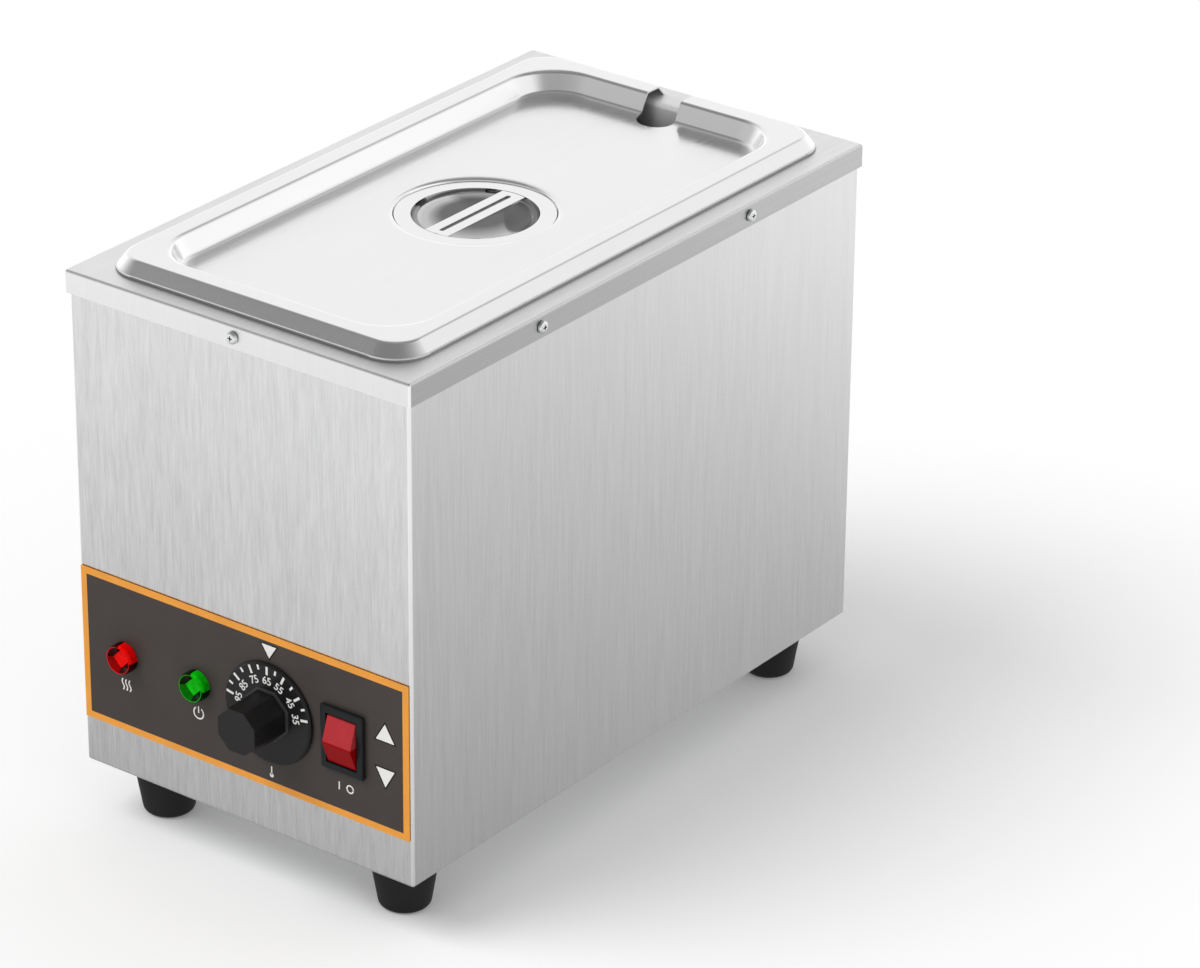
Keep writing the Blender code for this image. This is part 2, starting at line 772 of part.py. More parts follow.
def strip(name, path, width, thickness, material, location):
    """Bent strip: a path of (across, up) made wide along local Y, thick below its face."""
    shape = bmesh.new()
    near = [shape.verts.new((x, -width / 2, z)) for x, z in path]
    far = [shape.verts.new((x, width / 2, z)) for x, z in path]
    for k in range(len(path) - 1):
        shape.faces.new((near[k], near[k + 1], far[k + 1], far[k]))
    obj = add_part(name, mesh_from(shape, name), material, location)
    thicken(obj, thickness)
    return obj


def folded_box_mesh(name, width, length, height, open_side, flange=0):
    """The outside of a box open at its top (1) or bottom (-1), with a flange opposite if asked."""
    shape = bmesh.new()
    bmesh.ops.create_cube(shape, size=1)
    bmesh.ops.scale(shape, vec=(width, length, height), verts=shape.verts)
    bmesh.ops.translate(shape, vec=(0, 0, height / 2), verts=shape.verts)
    shape.normal_update()
    opened = [face for face in shape.faces if face.normal.z * open_side > 1 / 2]
    closed = [face for face in shape.faces if face.normal.z * open_side < -1 / 2]
    bmesh.ops.delete(shape, geom=opened, context="FACES_ONLY")
    if flange:
        bmesh.ops.inset_region(shape, faces=closed, thickness=flange)
        bmesh.ops.delete(shape, geom=closed, context="FACES_ONLY")
    return mesh_from(shape, name)


# Places that several pieces share


def foot_places():
    """Name and place of each foot."""
    x = HOUSING_WIDTH / 2 - FOOT_INSET
    y = HOUSING_FACE - FOOT_INSET
    return (
        ("front_left", -x, -y),
        ("front_right", x, -y),
        ("rear_left", -x, y),
        ("rear_right", x, y),
    )


def deck_screw_places():
    """Name, place on the skirt and facing of each deck screw."""
    height = CABINET_HEIGHT - DECK_SKIRT / 2
    x = DECK_WIDTH / 2
    y = DECK_LENGTH / 2
    return (
        ("front", (0, -y, height), FRONT),
        ("rear", (0, y, height), BACK),
        ("right_front", (x, -DECK_SCREW_SPREAD, height), RIGHT),
        ("right_rear", (x, DECK_SCREW_SPREAD, height), RIGHT),
        ("left_front", (-x, -DECK_SCREW_SPREAD, height), LEFT),
        ("left_rear", (-x, DECK_SCREW_SPREAD, height), LEFT),
    )


def on_label(x):
    """A place in the row of controls, on the face of the label."""
    return (x, -LABEL_FACE, CONTROL_HEIGHT)


def element_places():
    """Name and place of each leg of the heating element."""
    return (
        ("left", -ELEMENT_SPREAD, ELEMENT_END),
        ("right", ELEMENT_SPREAD, ELEMENT_END),
    )


def block_port(number):
    """Where a wire meets the terminal block, for port -1, 0 or 1."""
    return (BLOCK_X + number * BLOCK_PITCH, BLOCK_FRONT - SEAT_GAP, WIRE_PORT_HEIGHT)


# Cabinet


def deck_screw_holes():
    """Cutters for the screws through the skirt and the housing."""
    depth = DECK_SHEET + SKIRT_CLEARANCE + HOUSING_SHEET + CUT_OVERRUN
    radius = DECK_SCREW_RADIUS + SEAT_GAP
    mesh = round_mesh("deck_screw_hole", radius, -depth, CUT_OVERRUN, TINY_SIDES)
    return [
        add_cutter(f"deck_screw_hole_{name}", mesh, location, facing)
        for name, location, facing in deck_screw_places()
    ]


def control_holes():
    """Cutters for the lamps, the thermostat and the switch in the front wall."""
    depth = HOUSING_SHEET + CUT_OVERRUN
    lamp = round_mesh("lamp_hole", LAMP_RADIUS + SEAT_GAP, -depth, CUT_OVERRUN)
    shaft = round_mesh("shaft_hole", SHAFT_RADIUS + SEAT_GAP, -depth, CUT_OVERRUN)
    screw_radius = FRAME_SCREW_RADIUS + SEAT_GAP
    screw = round_mesh("frame_screw_hole", screw_radius, -depth, CUT_OVERRUN, TINY_SIDES)
    switch = box_mesh(
        "switch_hole",
        (SWITCH_BODY_WIDTH + 2 * SEAT_GAP, SWITCH_BODY_HEIGHT + 2 * SEAT_GAP, 2 * depth),
    )
    holes = (
        ("red_lamp", lamp, RED_LAMP_X),
        ("green_lamp", lamp, GREEN_LAMP_X),
        ("shaft", shaft, DIAL_X),
        ("left_frame_screw", screw, DIAL_X - FRAME_SCREW_PITCH / 2),
        ("right_frame_screw", screw, DIAL_X + FRAME_SCREW_PITCH / 2),
        ("switch", switch, SWITCH_X),
    )
    return [
        add_cutter(f"wall_hole_{name}", mesh, (x, -HOUSING_FACE, CONTROL_HEIGHT), FRONT)
        for name, mesh, x in holes
    ]


def foot_screw_holes():
    """Cutters for the foot screws in the bottom flange."""
    depth = HOUSING_SHEET + CUT_OVERRUN
    radius = FOOT_SCREW_RADIUS + SEAT_GAP
    mesh = round_mesh("foot_screw_hole", radius, -CUT_OVERRUN, depth, TINY_SIDES)
    return [
        add_cutter(f"foot_screw_hole_{name}", mesh, (x, y, 0)) for name, x, y in foot_places()
    ]


def gland_hole():
    """The cutter for the gland in the rear wall."""
    depth = HOUSING_SHEET + CUT_OVERRUN
    radius = GLAND_THREAD_RADIUS + SEAT_GAP
    mesh = round_mesh("gland_hole", radius, -depth, CUT_OVERRUN, 2 * TINY_SIDES)
    return add_cutter("gland_hole", mesh, (GLAND_X, HOUSING_FACE, GLAND_HEIGHT), BACK)


def make_housing(screw_holes):
    """Front, sides and back folded from one sheet, with a return flange at the bottom."""
    mesh = folded_box_mesh(
        "housing_shell", HOUSING_WIDTH, HOUSING_LENGTH, HOUSING_HEIGHT, 1, HOUSING_FLANGE
    )
    housing = add_part("housing_shell", mesh, BRUSHED_STEEL)
    soften(housing, HOUSING_FOLD)
    thicken(housing, HOUSING_SHEET)
    for cutter in screw_holes + control_holes() + foot_screw_holes() + [gland_hole()]:
        combine(housing, cutter)


def make_deck(screw_holes):
    """The cover with its downturned skirt and the opening for the pan."""
    mesh = folded_box_mesh("top_deck", DECK_WIDTH, DECK_LENGTH, DECK_SKIRT, -1)
    location = (0, 0, CABINET_HEIGHT - DECK_SKIRT)
    deck = add_part("top_deck", mesh, BRUSHED_STEEL, location)
    soften(deck, DECK_FOLD)
    thicken(deck, DECK_SHEET)
    outline = rounded_rectangle(OPENING_X, OPENING_Y, OPENING_CORNER)
    opening = prism_mesh("deck_opening", [outline], 2 * (DECK_SHEET + CUT_OVERRUN))
    combine(deck, add_cutter("deck_opening", opening, (0, 0, CABINET_HEIGHT)))
    for cutter in screw_holes:
        combine(deck, cutter)


def make_base_plate():
    """The bottom cover, with two groups of vent slots and holes for the foot screws."""
    half_x = HOUSING_WIDTH / 2 - BASE_INSET
    half_y = HOUSING_FACE - BASE_INSET
    outlines = [rounded_rectangle(half_x, half_y, BASE_CORNER, BEND_STEPS)]
    for _, x, y in foot_places():
        outlines.append(polygon(FOOT_SCREW_RADIUS + SEAT_GAP, TINY_SIDES, (x, y)))
    for group in (-1, 1):
        for number in range(VENTS_PER_GROUP):
            along = (number - (VENTS_PER_GROUP - 1) / 2) * VENT_PITCH
            centre = (0, group * VENT_GROUP_SPREAD + along)
            outlines.append(slot(VENT_LENGTH, VENT_WIDTH, centre))
    plate = flat_curve("base_plate", outlines, BASE_SHEET)
    add_part("base_plate", plate, ZINC_STEEL, (0, 0, -SEAT_GAP - BASE_SHEET / 2))


def make_feet():
    """Four tapered rubber feet, and the screw up the middle of each."""
    slope = (FOOT_TOP_RADIUS - FOOT_BOTTOM_RADIUS) / FOOT_HEIGHT
    hole = FOOT_SCREW_RADIUS + SEAT_GAP
    recess_top = FOOT_RECESS_DEPTH - FOOT_HEIGHT
    foot_profile = [
        (hole, 0),
        (FOOT_TOP_RADIUS - FOOT_EDGE, 0),
        (FOOT_TOP_RADIUS - slope * FOOT_EDGE, -FOOT_EDGE),
        (FOOT_BOTTOM_RADIUS + slope * FOOT_EDGE, FOOT_EDGE - FOOT_HEIGHT),
        (FOOT_BOTTOM_RADIUS - FOOT_EDGE, -FOOT_HEIGHT),
        (FOOT_RECESS_RADIUS, -FOOT_HEIGHT),
        (FOOT_RECESS_RADIUS, recess_top),
        (hole, recess_top),
    ]
    head_top = recess_top - SEAT_GAP
    screw_top = HOUSING_SHEET - FOOT_TOP + FOOT_SCREW_END
    screw_profile = [
        (0, screw_top),
        (FOOT_SCREW_RADIUS, screw_top),
        (FOOT_SCREW_RADIUS, head_top),
        (FOOT_SCREW_HEAD_RADIUS, head_top),
        (FOOT_SCREW_HEAD_RADIUS, head_top - FOOT_SCREW_HEAD),
        (0, head_top - FOOT_SCREW_HEAD),
    ]
    foot = turned_mesh("foot", foot_profile, 2 * TINY_SIDES)
    screw = turned_mesh("foot_screw", screw_profile, TINY_SIDES)
    for name, x, y in foot_places():
        add_part(f"foot_{name}", foot, BLACK_RUBBER, (x, y, FOOT_TOP))
        add_part(f"foot_screw_{name}", screw, ZINC_STEEL, (x, y, FOOT_TOP))


def make_deck_screws():
    """Pan-head screws with a cross recess, through the skirt into the housing."""
    shank = DECK_SHEET + SKIRT_CLEARANCE + HOUSING_SHEET + DECK_SCREW_END
    head_top = SEAT_GAP + DECK_SCREW_HEAD
    profile = crown_profile(DECK_SCREW_HEAD_RADIUS, head_top, DECK_SCREW_CROWN) + [
        (DECK_SCREW_HEAD_RADIUS, SEAT_GAP),
        (DECK_SCREW_RADIUS, SEAT_GAP),
        (DECK_SCREW_RADIUS, -shank),
        (0, -shank),
    ]
    mesh = turned_mesh("deck_screw", profile, TINY_SIDES)
    recess = prism_mesh("cross_recess", [cross_outline()], 2 * CROSS_DEPTH)
    for name, location, facing in deck_screw_places():
        screw = add_part(f"deck_screw_{name}", mesh, ZINC_STEEL, location, facing)
        recess_place = Vector((0, 0, head_top))
        recess_place.rotate(Euler(facing))
        recess_place += Vector(location)
        combine(screw, add_cutter(f"cross_recess_{name}", recess, recess_place, facing))


# Tank, pan and lid


def make_tank():
    """The water tank, hung under the deck by its flange."""
    mouth = ring(OPENING_X, OPENING_Y, OPENING_CORNER, TANK_TOP)
    rings = [
        inset(mouth, -TANK_FLANGE),
        mouth,
        inset(mouth, 0, TANK_DEPTH),
        inset(mouth, TANK_FLOOR_BEND + TANK_BEND, TANK_DEPTH),
    ]
    rings = bent(rings, (TANK_BEND, TANK_FLOOR_BEND))
    tank = pressing("water_tank", rings, TANK_SHEET, BRUSHED_STEEL)
    depth = TANK_SHEET + CUT_OVERRUN
    mesh = round_mesh("element_hole", BUSHING_RADIUS + SEAT_GAP, -depth, CUT_OVERRUN)
    for name, x, y in element_places():
        combine(tank, add_cutter(f"element_hole_{name}", mesh, (x, y, TANK_FLOOR)))


def make_pan():
    """The food pan, resting on the deck by the downturned edge of its flange."""
    edge = ring(PAN_WIDTH / 2, PAN_LENGTH / 2, PAN_RIM_CORNER, PAN_SEAT)
    foot_x = PAN_WALL_X - PAN_TAPER
    foot_y = PAN_WALL_Y - PAN_TAPER
    foot = ring(foot_x, foot_y, PAN_FLOOR_CORNER, PAN_FLOOR)
    rings = [
        edge,
        inset(edge, 0, -PAN_EDGE),
        ring(PAN_WALL_X, PAN_WALL_Y, PAN_CORNER, PAN_RIM_TOP),
        foot,
        inset(foot, PAN_FLOOR_BEND + PAN_BEND),
    ]
    rings = bent(rings, (PAN_EDGE_BEND, PAN_BEND, PAN_FLOOR_BEND))
    pressing("food_pan", rings, PAN_SHEET, POLISHED_STEEL)


def make_lid():
    """The lid: sloped lip, flat rim, recess, round seat for the handle, and ladle notch."""
    lip = ring(LID_WIDTH / 2, LID_LENGTH / 2, LID_CORNER, LID_LIP_BOTTOM)
    rim = inset(lip, LID_LIP_RUN, -LID_LIP_HEIGHT)
    recess = ring(rim[0] - LID_RIM, rim[1] - LID_RIM, LID_RECESS_CORNER, LID_TOP)
    rings = [
        lip,
        rim,
        recess,
        inset(recess, LID_RECESS_RUN, LID_RECESS_DEPTH),
        round_ring(HANDLE_SEAT_RADIUS, LID_PANEL),
    ]
    rings = bent(rings, (LID_LIP_BEND, LID_RECESS_BEND, LID_RECESS_BEND))
    rings.append(round_ring(HANDLE_SEAT_RADIUS - HANDLE_SEAT_RUN, HANDLE_SEAT))
    rings.append(round_ring(HANDLE_HOLE_RADIUS, HANDLE_SEAT))
    lid = pressing("lid", rings, LID_SHEET, POLISHED_STEEL, floor=False)
    depth = 2 * (LID_RECESS_DEPTH + LID_SHEET + CUT_OVERRUN)
    notch = prism_mesh("ladle_notch", [notch_outline()], depth)
    combine(lid, add_cutter("ladle_notch", notch, (0, 0, LID_TOP)))


def make_handle():
    """The dished cup in the lid's seat, and the bar across its mouth."""
    rings = [
        round_ring(CUP_FLANGE_RADIUS, CUP_TOP),
        round_ring(CUP_RADIUS, CUP_TOP),
    ]
    for step in range(CUP_STEPS):
        angle = math.pi / 2 * step / CUP_STEPS
        depth = CUP_LIP + (CUP_DEPTH - CUP_LIP) * math.sin(angle)
        rings.append(round_ring(CUP_RADIUS * math.cos(angle), CUP_TOP - depth))
    rings.append(round_ring(CUP_RADIUS * math.cos(angle) / 2, CUP_TOP - CUP_DEPTH))
    pressing("lid_handle_cup", rings, CUP_SHEET, POLISHED_STEEL)
    bar_mesh = prism_mesh("lid_handle_bar", [bar_outline()], BAR_THICKNESS)
    bar_place = (0, 0, CUP_TOP - BAR_THICKNESS / 2)
    bar = add_part("lid_handle_bar", bar_mesh, POLISHED_STEEL, bar_place)
    groove_length = 2 * (CUP_RADIUS - BAR_GROOVE_STOP)
    groove = box_mesh("bar_groove", (BAR_GROOVE_WIDTH, groove_length, 2 * BAR_GROOVE_DEPTH))
    combine(bar, add_cutter("bar_groove", groove, (0, 0, CUP_TOP)))


# Controls


def make_label():
    """The control label on the front wall, with the holes that the controls pass through."""
    lamp_hole = LAMP_RADIUS + SEAT_GAP
    screw_hole = FRAME_SCREW_HEAD_RADIUS + SEAT_GAP
    switch_width = SWITCH_BODY_WIDTH + 2 * SEAT_GAP
    switch_height = SWITCH_BODY_HEIGHT + 2 * SEAT_GAP
    outlines = [
        rectangle(LABEL_WIDTH, LABEL_HEIGHT),
        rectangle(switch_width, switch_height, (SWITCH_X, 0)),
        polygon(lamp_hole, SMALL_SIDES, (RED_LAMP_X, 0)),
        polygon(lamp_hole, SMALL_SIDES, (GREEN_LAMP_X, 0)),
        polygon(SHAFT_RADIUS + SEAT_GAP, SMALL_SIDES, (DIAL_X, 0)),
        polygon(screw_hole, TINY_SIDES, (DIAL_X - FRAME_SCREW_PITCH / 2, 0)),
        polygon(screw_hole, TINY_SIDES, (DIAL_X + FRAME_SCREW_PITCH / 2, 0)),
    ]
    label = flat_curve("control_label", outlines, LABEL_THICKNESS)
    location = (0, LABEL_THICKNESS / 2 - LABEL_FACE, CONTROL_HEIGHT)
    add_part("control_label", label, LABEL_GREY, location, FRONT)


def make_lamp(colour, x, lens_material):
    """One lamp: its lens on the label, its body through the wall, and the nut behind."""
    lens_profile = crown_profile(LENS_RADIUS, SEAT_GAP + LENS_HEIGHT, LENS_CROWN) + [
        (LENS_RADIUS, SEAT_GAP),
        (LENS_STEM_RADIUS, SEAT_GAP),
        (LENS_STEM_RADIUS, -LENS_STEM_LENGTH),
        (0, -LENS_STEM_LENGTH),
    ]
    socket = LENS_STEM_RADIUS + SEAT_GAP
    body_profile = [
        (0, -LENS_STEM_LENGTH - SEAT_GAP),
        (socket, -LENS_STEM_LENGTH - SEAT_GAP),
        (socket, 0),
        (LAMP_RADIUS, 0),
        (LAMP_RADIUS, -LAMP_LENGTH),
        (0, -LAMP_LENGTH),
    ]
    lens = turned_mesh(f"{colour}_lamp_lens", lens_profile, 2 * TINY_SIDES)
    add_part(f"{colour}_lamp_lens", lens, lens_material, on_label(x), FRONT)
    body = turned_mesh(f"{colour}_lamp_body", body_profile, SMALL_SIDES)
    add_part(f"{colour}_lamp_body", body, WHITE_NYLON, on_label(x), FRONT)
    outlines = [polygon(LAMP_NUT_RADIUS, HEX_SIDES), polygon(LAMP_RADIUS + SEAT_GAP, SMALL_SIDES)]
    nut = flat_curve(f"{colour}_lamp_nut", outlines, LAMP_NUT_THICKNESS)
    nut_y = SEAT_GAP + LAMP_NUT_THICKNESS / 2 - HOUSING_INSIDE
    add_part(f"{colour}_lamp_nut", nut, WHITE_NYLON, (x, nut_y, CONTROL_HEIGHT), FRONT)


def make_knob():
    """The knob: a hollow skirt for the figures, and a tapered grip with flat sides."""
    low = KNOB_GAP
    top = low + SKIRT_THICKNESS
    hollow_top = low + SKIRT_HOLLOW
    hollow_radius = SKIRT_RADIUS - SKIRT_WALL
    profile = [
        (0, top),
        (SKIRT_RADIUS - SKIRT_CHAMFER, top),
        (SKIRT_RADIUS, top - SKIRT_CHAMFER),
        (SKIRT_RADIUS, low),
        (hollow_radius, low),
        (hollow_radius, hollow_top),
        (BOSS_RADIUS, hollow_top),
        (BOSS_RADIUS, low),
        (0, low),
    ]
    location = on_label(DIAL_X)
    mesh = turned_mesh("thermostat_knob", profile, 3 * SMALL_SIDES)
    knob = add_part("thermostat_knob", mesh, BLACK_BAKELITE, location, FRONT)
    grip_mesh = round_mesh(
        "knob_grip",
        GRIP_BASE_RADIUS,
        (hollow_top + top) / 2,
        low + GRIP_LENGTH,
        GRIP_SIDES,
        GRIP_END_RADIUS,
    )
    grip = add_cutter("knob_grip", grip_mesh, location, FRONT)
    soften(grip, GRIP_EDGE)
    combine(knob, grip, "UNION")
    outline = d_outline(SHAFT_RADIUS + SEAT_GAP, SHAFT_RADIUS - SHAFT_FLAT + SEAT_GAP)
    socket = prism_mesh("shaft_socket", [outline], 2 * (SHAFT_IN_KNOB + SEAT_GAP))
    socket_place = Vector(location) - Vector((0, KNOB_GAP, 0))
    combine(knob, add_cutter("shaft_socket", socket, socket_place, FRONT))


def make_shaft():
    """The thermostat's shaft, with a flat where the knob holds it."""
    low = THERMOSTAT_FACE - SHAFT_IN_BODY - LABEL_FACE
    high = KNOB_GAP + SHAFT_IN_KNOB
    mesh = round_mesh("thermostat_shaft", SHAFT_RADIUS, low, high)
    shaft = add_part("thermostat_shaft", mesh, ZINC_STEEL, on_label(DIAL_X), FRONT)
    flat = box_mesh(
        "shaft_flat",
        (2 * SHAFT_FLAT, 2 * SHAFT_RADIUS + CUT_OVERRUN, SHAFT_IN_KNOB + CUT_OVERRUN),
        (SHAFT_RADIUS, 0, KNOB_GAP + (SHAFT_IN_KNOB + CUT_OVERRUN) / 2),
    )
    combine(shaft, add_cutter("shaft_flat", flat, on_label(DIAL_X), FRONT))


def make_thermostat():
    """The thermostat's body on its frame behind the wall, and the frame's two screws."""
    half_pitch = FRAME_SCREW_PITCH / 2
    outlines = [
        rounded_rectangle(FRAME_LENGTH / 2, FRAME_WIDTH / 2, FRAME_CORNER, BEND_STEPS),
        polygon(SHAFT_RADIUS + SEAT_GAP, SMALL_SIDES),
        polygon(FRAME_SCREW_RADIUS + SEAT_GAP, TINY_SIDES, (-half_pitch, 0)),
        polygon(FRAME_SCREW_RADIUS + SEAT_GAP, TINY_SIDES, (half_pitch, 0)),
    ]
    frame = flat_curve("thermostat_frame", outlines, FRAME_THICKNESS)
    frame_place = (DIAL_X, FRAME_THICKNESS / 2 - FRAME_FACE, CONTROL_HEIGHT)
    add_part("thermostat_frame", frame, ZINC_STEEL, frame_place, FRONT)

    size = (THERMOSTAT_WIDTH, THERMOSTAT_WIDTH, THERMOSTAT_DEPTH)
    mesh = box_mesh("thermostat_body", size, (0, 0, -THERMOSTAT_DEPTH / 2))
    body_place = (DIAL_X, -THERMOSTAT_FACE, CONTROL_HEIGHT)
    body = add_part("thermostat_body", mesh, BLACK_BAKELITE, body_place, FRONT)
    soften(body, THERMOSTAT_EDGE)
    bore_depth = SHAFT_IN_BODY + SEAT_GAP
    bore = round_mesh("shaft_bore", SHAFT_RADIUS + SEAT_GAP, -bore_depth, CUT_OVERRUN)
    combine(body, add_cutter("shaft_bore", bore, body_place, FRONT))

    head_low = HOUSING_FACE + SEAT_GAP - LABEL_FACE
    tip = FRAME_FACE - FRAME_THICKNESS - LABEL_FACE
    profile = [
        (0, head_low + FRAME_SCREW_HEAD),
        (FRAME_SCREW_HEAD_RADIUS, head_low + FRAME_SCREW_HEAD),
        (FRAME_SCREW_HEAD_RADIUS, head_low),
        (FRAME_SCREW_RADIUS, head_low),
        (FRAME_SCREW_RADIUS, tip),
        (0, tip),
    ]
    screw = turned_mesh("thermostat_screw", profile, TINY_SIDES)
    for side, x in (("left", DIAL_X - half_pitch), ("right", DIAL_X + half_pitch)):
        add_part(f"thermostat_screw_{side}", screw, ZINC_STEEL, on_label(x), FRONT)


def make_sensor():
    """The thermostat's bulb, clipped under the tank floor, and the capillary that joins them."""
    bulb_end = BULB_Y - BULB_LENGTH / 2
    route = [(DIAL_X, bulb_end, BULB_HEIGHT), (DIAL_X, BULB_Y + BULB_LENGTH / 2, BULB_HEIGHT)]
    add_part("thermostat_bulb", tube_curve("thermostat_bulb", route, BULB_RADIUS), COPPER)
    body_top = CONTROL_HEIGHT + THERMOSTAT_WIDTH / 2 + SEAT_GAP
    body_middle = -(THERMOSTAT_FACE + THERMOSTAT_BACK) / 2
    corners = [
        (DIAL_X, body_middle, body_top),
        (DIAL_X, body_middle, BULB_HEIGHT),
        (DIAL_X, bulb_end - SEAT_GAP, BULB_HEIGHT),
    ]
    capillary_route = rounded_route(corners, CAPILLARY_BEND)
    capillary = tube_curve("thermostat_capillary", capillary_route, CAPILLARY_RADIUS)
    add_part("thermostat_capillary", capillary, COPPER)
    clip_place = (DIAL_X, BULB_Y, BULB_HEIGHT)
    strip("bulb_clip", clip_path(), CLIP_LENGTH, CLIP_SHEET, ZINC_STEEL, clip_place)


def make_switch_housing(location, pivot, reach):
    """The switch's housing: bezel, body through the wall, terminal tabs and rocker well."""
    joint = SEAT_GAP + BEZEL_THICKNESS / 2
    mesh = box_mesh(
        "switch_housing",
        (SWITCH_BODY_WIDTH, SWITCH_BODY_HEIGHT, SWITCH_BODY_DEPTH + joint),
        (0, 0, (joint - SWITCH_BODY_DEPTH) / 2),
    )
    housing = add_part("switch_housing", mesh, BLACK_NYLON, location, FRONT)
    bezel_size = (BEZEL_WIDTH, BEZEL_HEIGHT, BEZEL_THICKNESS)
    bezel_mesh = box_mesh("switch_bezel", bezel_size, (0, 0, joint))
    bezel = add_cutter("switch_bezel", bezel_mesh, location, FRONT)
    soften(bezel, BEZEL_EDGE)
    combine(housing, bezel, "UNION")
    for side, x in (("left", -TAB_SPREAD), ("right", TAB_SPREAD)):
        tab = box_mesh(
            "switch_tab",
            (TAB_SHEET, TAB_WIDTH, TAB_LENGTH + CUT_OVERRUN),
            (x, 0, (CUT_OVERRUN - TAB_LENGTH) / 2 - SWITCH_BODY_DEPTH),
        )
        combine(housing, add_cutter(f"switch_tab_{side}", tab, location, FRONT), "UNION")
    well = box_mesh(
        "rocker_well",
        (ROCKER_WIDTH + 2 * WELL_GAP, ROCKER_HEIGHT + 2 * WELL_GAP, WELL_DEPTH + CUT_OVERRUN),
        (0, 0, BEZEL_FACE + (CUT_OVERRUN - WELL_DEPTH) / 2),
    )
    combine(housing, add_cutter("rocker_well", well, location, FRONT))
    end = reach + SEAT_GAP
    socket = round_mesh("pivot_socket", PIVOT_RADIUS + SEAT_GAP, -end, end, TINY_SIDES)
    combine(housing, add_cutter("pivot_socket", socket, pivot, SIDEWAYS))


def make_switch():
    """The rocker switch: its housing, and the roof-shaped rocker on its two pivots."""
    location = on_label(SWITCH_X)
    pivot = (SWITCH_X, PIVOT_DEPTH - LABEL_FACE - BEZEL_FACE, CONTROL_HEIGHT)
    reach = ROCKER_WIDTH / 2 + WELL_GAP + PIVOT_LENGTH / 2
    make_switch_housing(location, pivot, reach)
    mesh = side_prism_mesh("switch_rocker", rocker_outline(), ROCKER_WIDTH)
    tilted = (FRONT[0] + ROCKER_TILT, FRONT[1], FRONT[2])
    rocker = add_part("switch_rocker", mesh, ROCKER_RED, pivot, tilted)
    soften(rocker, ROCKER_EDGE)
    pin = round_mesh("rocker_pin", PIVOT_RADIUS, -reach, reach, TINY_SIDES)
    combine(rocker, add_cutter("rocker_pin", pin, pivot, SIDEWAYS), "UNION")


# Heating


def make_element():
    """The hairpin heating element in the tank, and what seals its legs in the tank floor."""
    front = -ELEMENT_END
    (_, left, back), (_, right, _) = element_places()
    corners = [
        (left, back, ELEMENT_BOTTOM),
        (left, back, ELEMENT_HEIGHT),
        (left, front, ELEMENT_HEIGHT),
        (right, front, ELEMENT_HEIGHT),
        (right, back, ELEMENT_HEIGHT),
        (right, back, ELEMENT_BOTTOM),
    ]
    tube = tube_curve("heating_element", rounded_route(corners, ELEMENT_BEND), ELEMENT_RADIUS)
    add_part("heating_element", tube, POLISHED_STEEL)

    bore = ELEMENT_RADIUS + SEAT_GAP
    profile = [
        (bore, BUSHING_COLLAR),
        (BUSHING_COLLAR_RADIUS, BUSHING_COLLAR),
        (BUSHING_COLLAR_RADIUS, 0),
        (BUSHING_RADIUS, 0),
        (BUSHING_RADIUS, -BUSHING_LENGTH),
        (bore, -BUSHING_LENGTH),
    ]
    bushing = turned_mesh("element_bushing", profile, SMALL_SIDES)
    hole = polygon(BUSHING_RADIUS + SEAT_GAP, SMALL_SIDES)
    gasket_outlines = [polygon(BUSHING_COLLAR_RADIUS, SMALL_SIDES), hole]
    nut_outlines = [polygon(ELEMENT_NUT_RADIUS, HEX_SIDES), hole]
    gasket_height = TANK_FLOOR + SEAT_GAP + GASKET_THICKNESS / 2
    nut_height = TANK_UNDERSIDE - SEAT_GAP - ELEMENT_NUT_THICKNESS / 2
    for name, x, y in element_places():
        add_part(f"element_bushing_{name}", bushing, BRASS, (x, y, BUSHING_SEAT))
        gasket = flat_curve(f"element_gasket_{name}", gasket_outlines, GASKET_THICKNESS)
        add_part(f"element_gasket_{name}", gasket, SILICONE, (x, y, gasket_height))
        nut = flat_curve(f"element_nut_{name}", nut_outlines, ELEMENT_NUT_THICKNESS)
        add_part(f"element_nut_{name}", nut, BRASS, (x, y, nut_height))


# Mains side


def make_gland_body(location, seat, spigot_end):
    """The gland's body: a threaded tube through the wall, with a hexagon outside it."""
    seal_seat = spigot_end - GLAND_SEAL_SEAT - SEAT_GAP
    thread_end = -HOUSING_SHEET - GLAND_THREAD_LENGTH
    profile = [
        (seat, spigot_end),
        (GLAND_THREAD_RADIUS, spigot_end),
        (GLAND_THREAD_RADIUS, thread_end),
        (GLAND_BORE_RADIUS, thread_end),
        (GLAND_BORE_RADIUS, seal_seat),
        (seat, seal_seat),
    ]
    mesh = turned_mesh("cord_gland_body", profile, 2 * TINY_SIDES)
    body = add_part("cord_gland_body", mesh, BLACK_NYLON, location, BACK)
    inside_wall = (GLAND_BORE_RADIUS + GLAND_THREAD_RADIUS) / 2
    outlines = [polygon(GLAND_HEX_RADIUS, HEX_SIDES), polygon(inside_wall, SMALL_SIDES)]
    hexagon = prism_mesh("gland_hexagon", outlines, GLAND_HEX)
    hexagon_place = (GLAND_X, HOUSING_FACE + SEAT_GAP + GLAND_HEX / 2, GLAND_HEIGHT)
    combine(body, add_cutter("gland_hexagon", hexagon, hexagon_place, BACK), "UNION")


def gland_cap_profile():
    """The profile of the gland's domed cap, round the spigot and over the seal."""
    inside = GLAND_THREAD_RADIUS + SEAT_GAP
    outside = inside + GLAND_CAP_WALL
    mouth = GLAND_ENTRY_RADIUS + GLAND_CAP_LIP
    crown = crown_profile(outside, GLAND_END, GLAND_CAP_CROWN)
    return [(mouth, GLAND_END)] + crown[1:] + [
        (outside, GLAND_CAP_START),
        (inside, GLAND_CAP_START),
        (inside, GLAND_SHOULDER),
        (mouth, GLAND_SHOULDER),
    ]


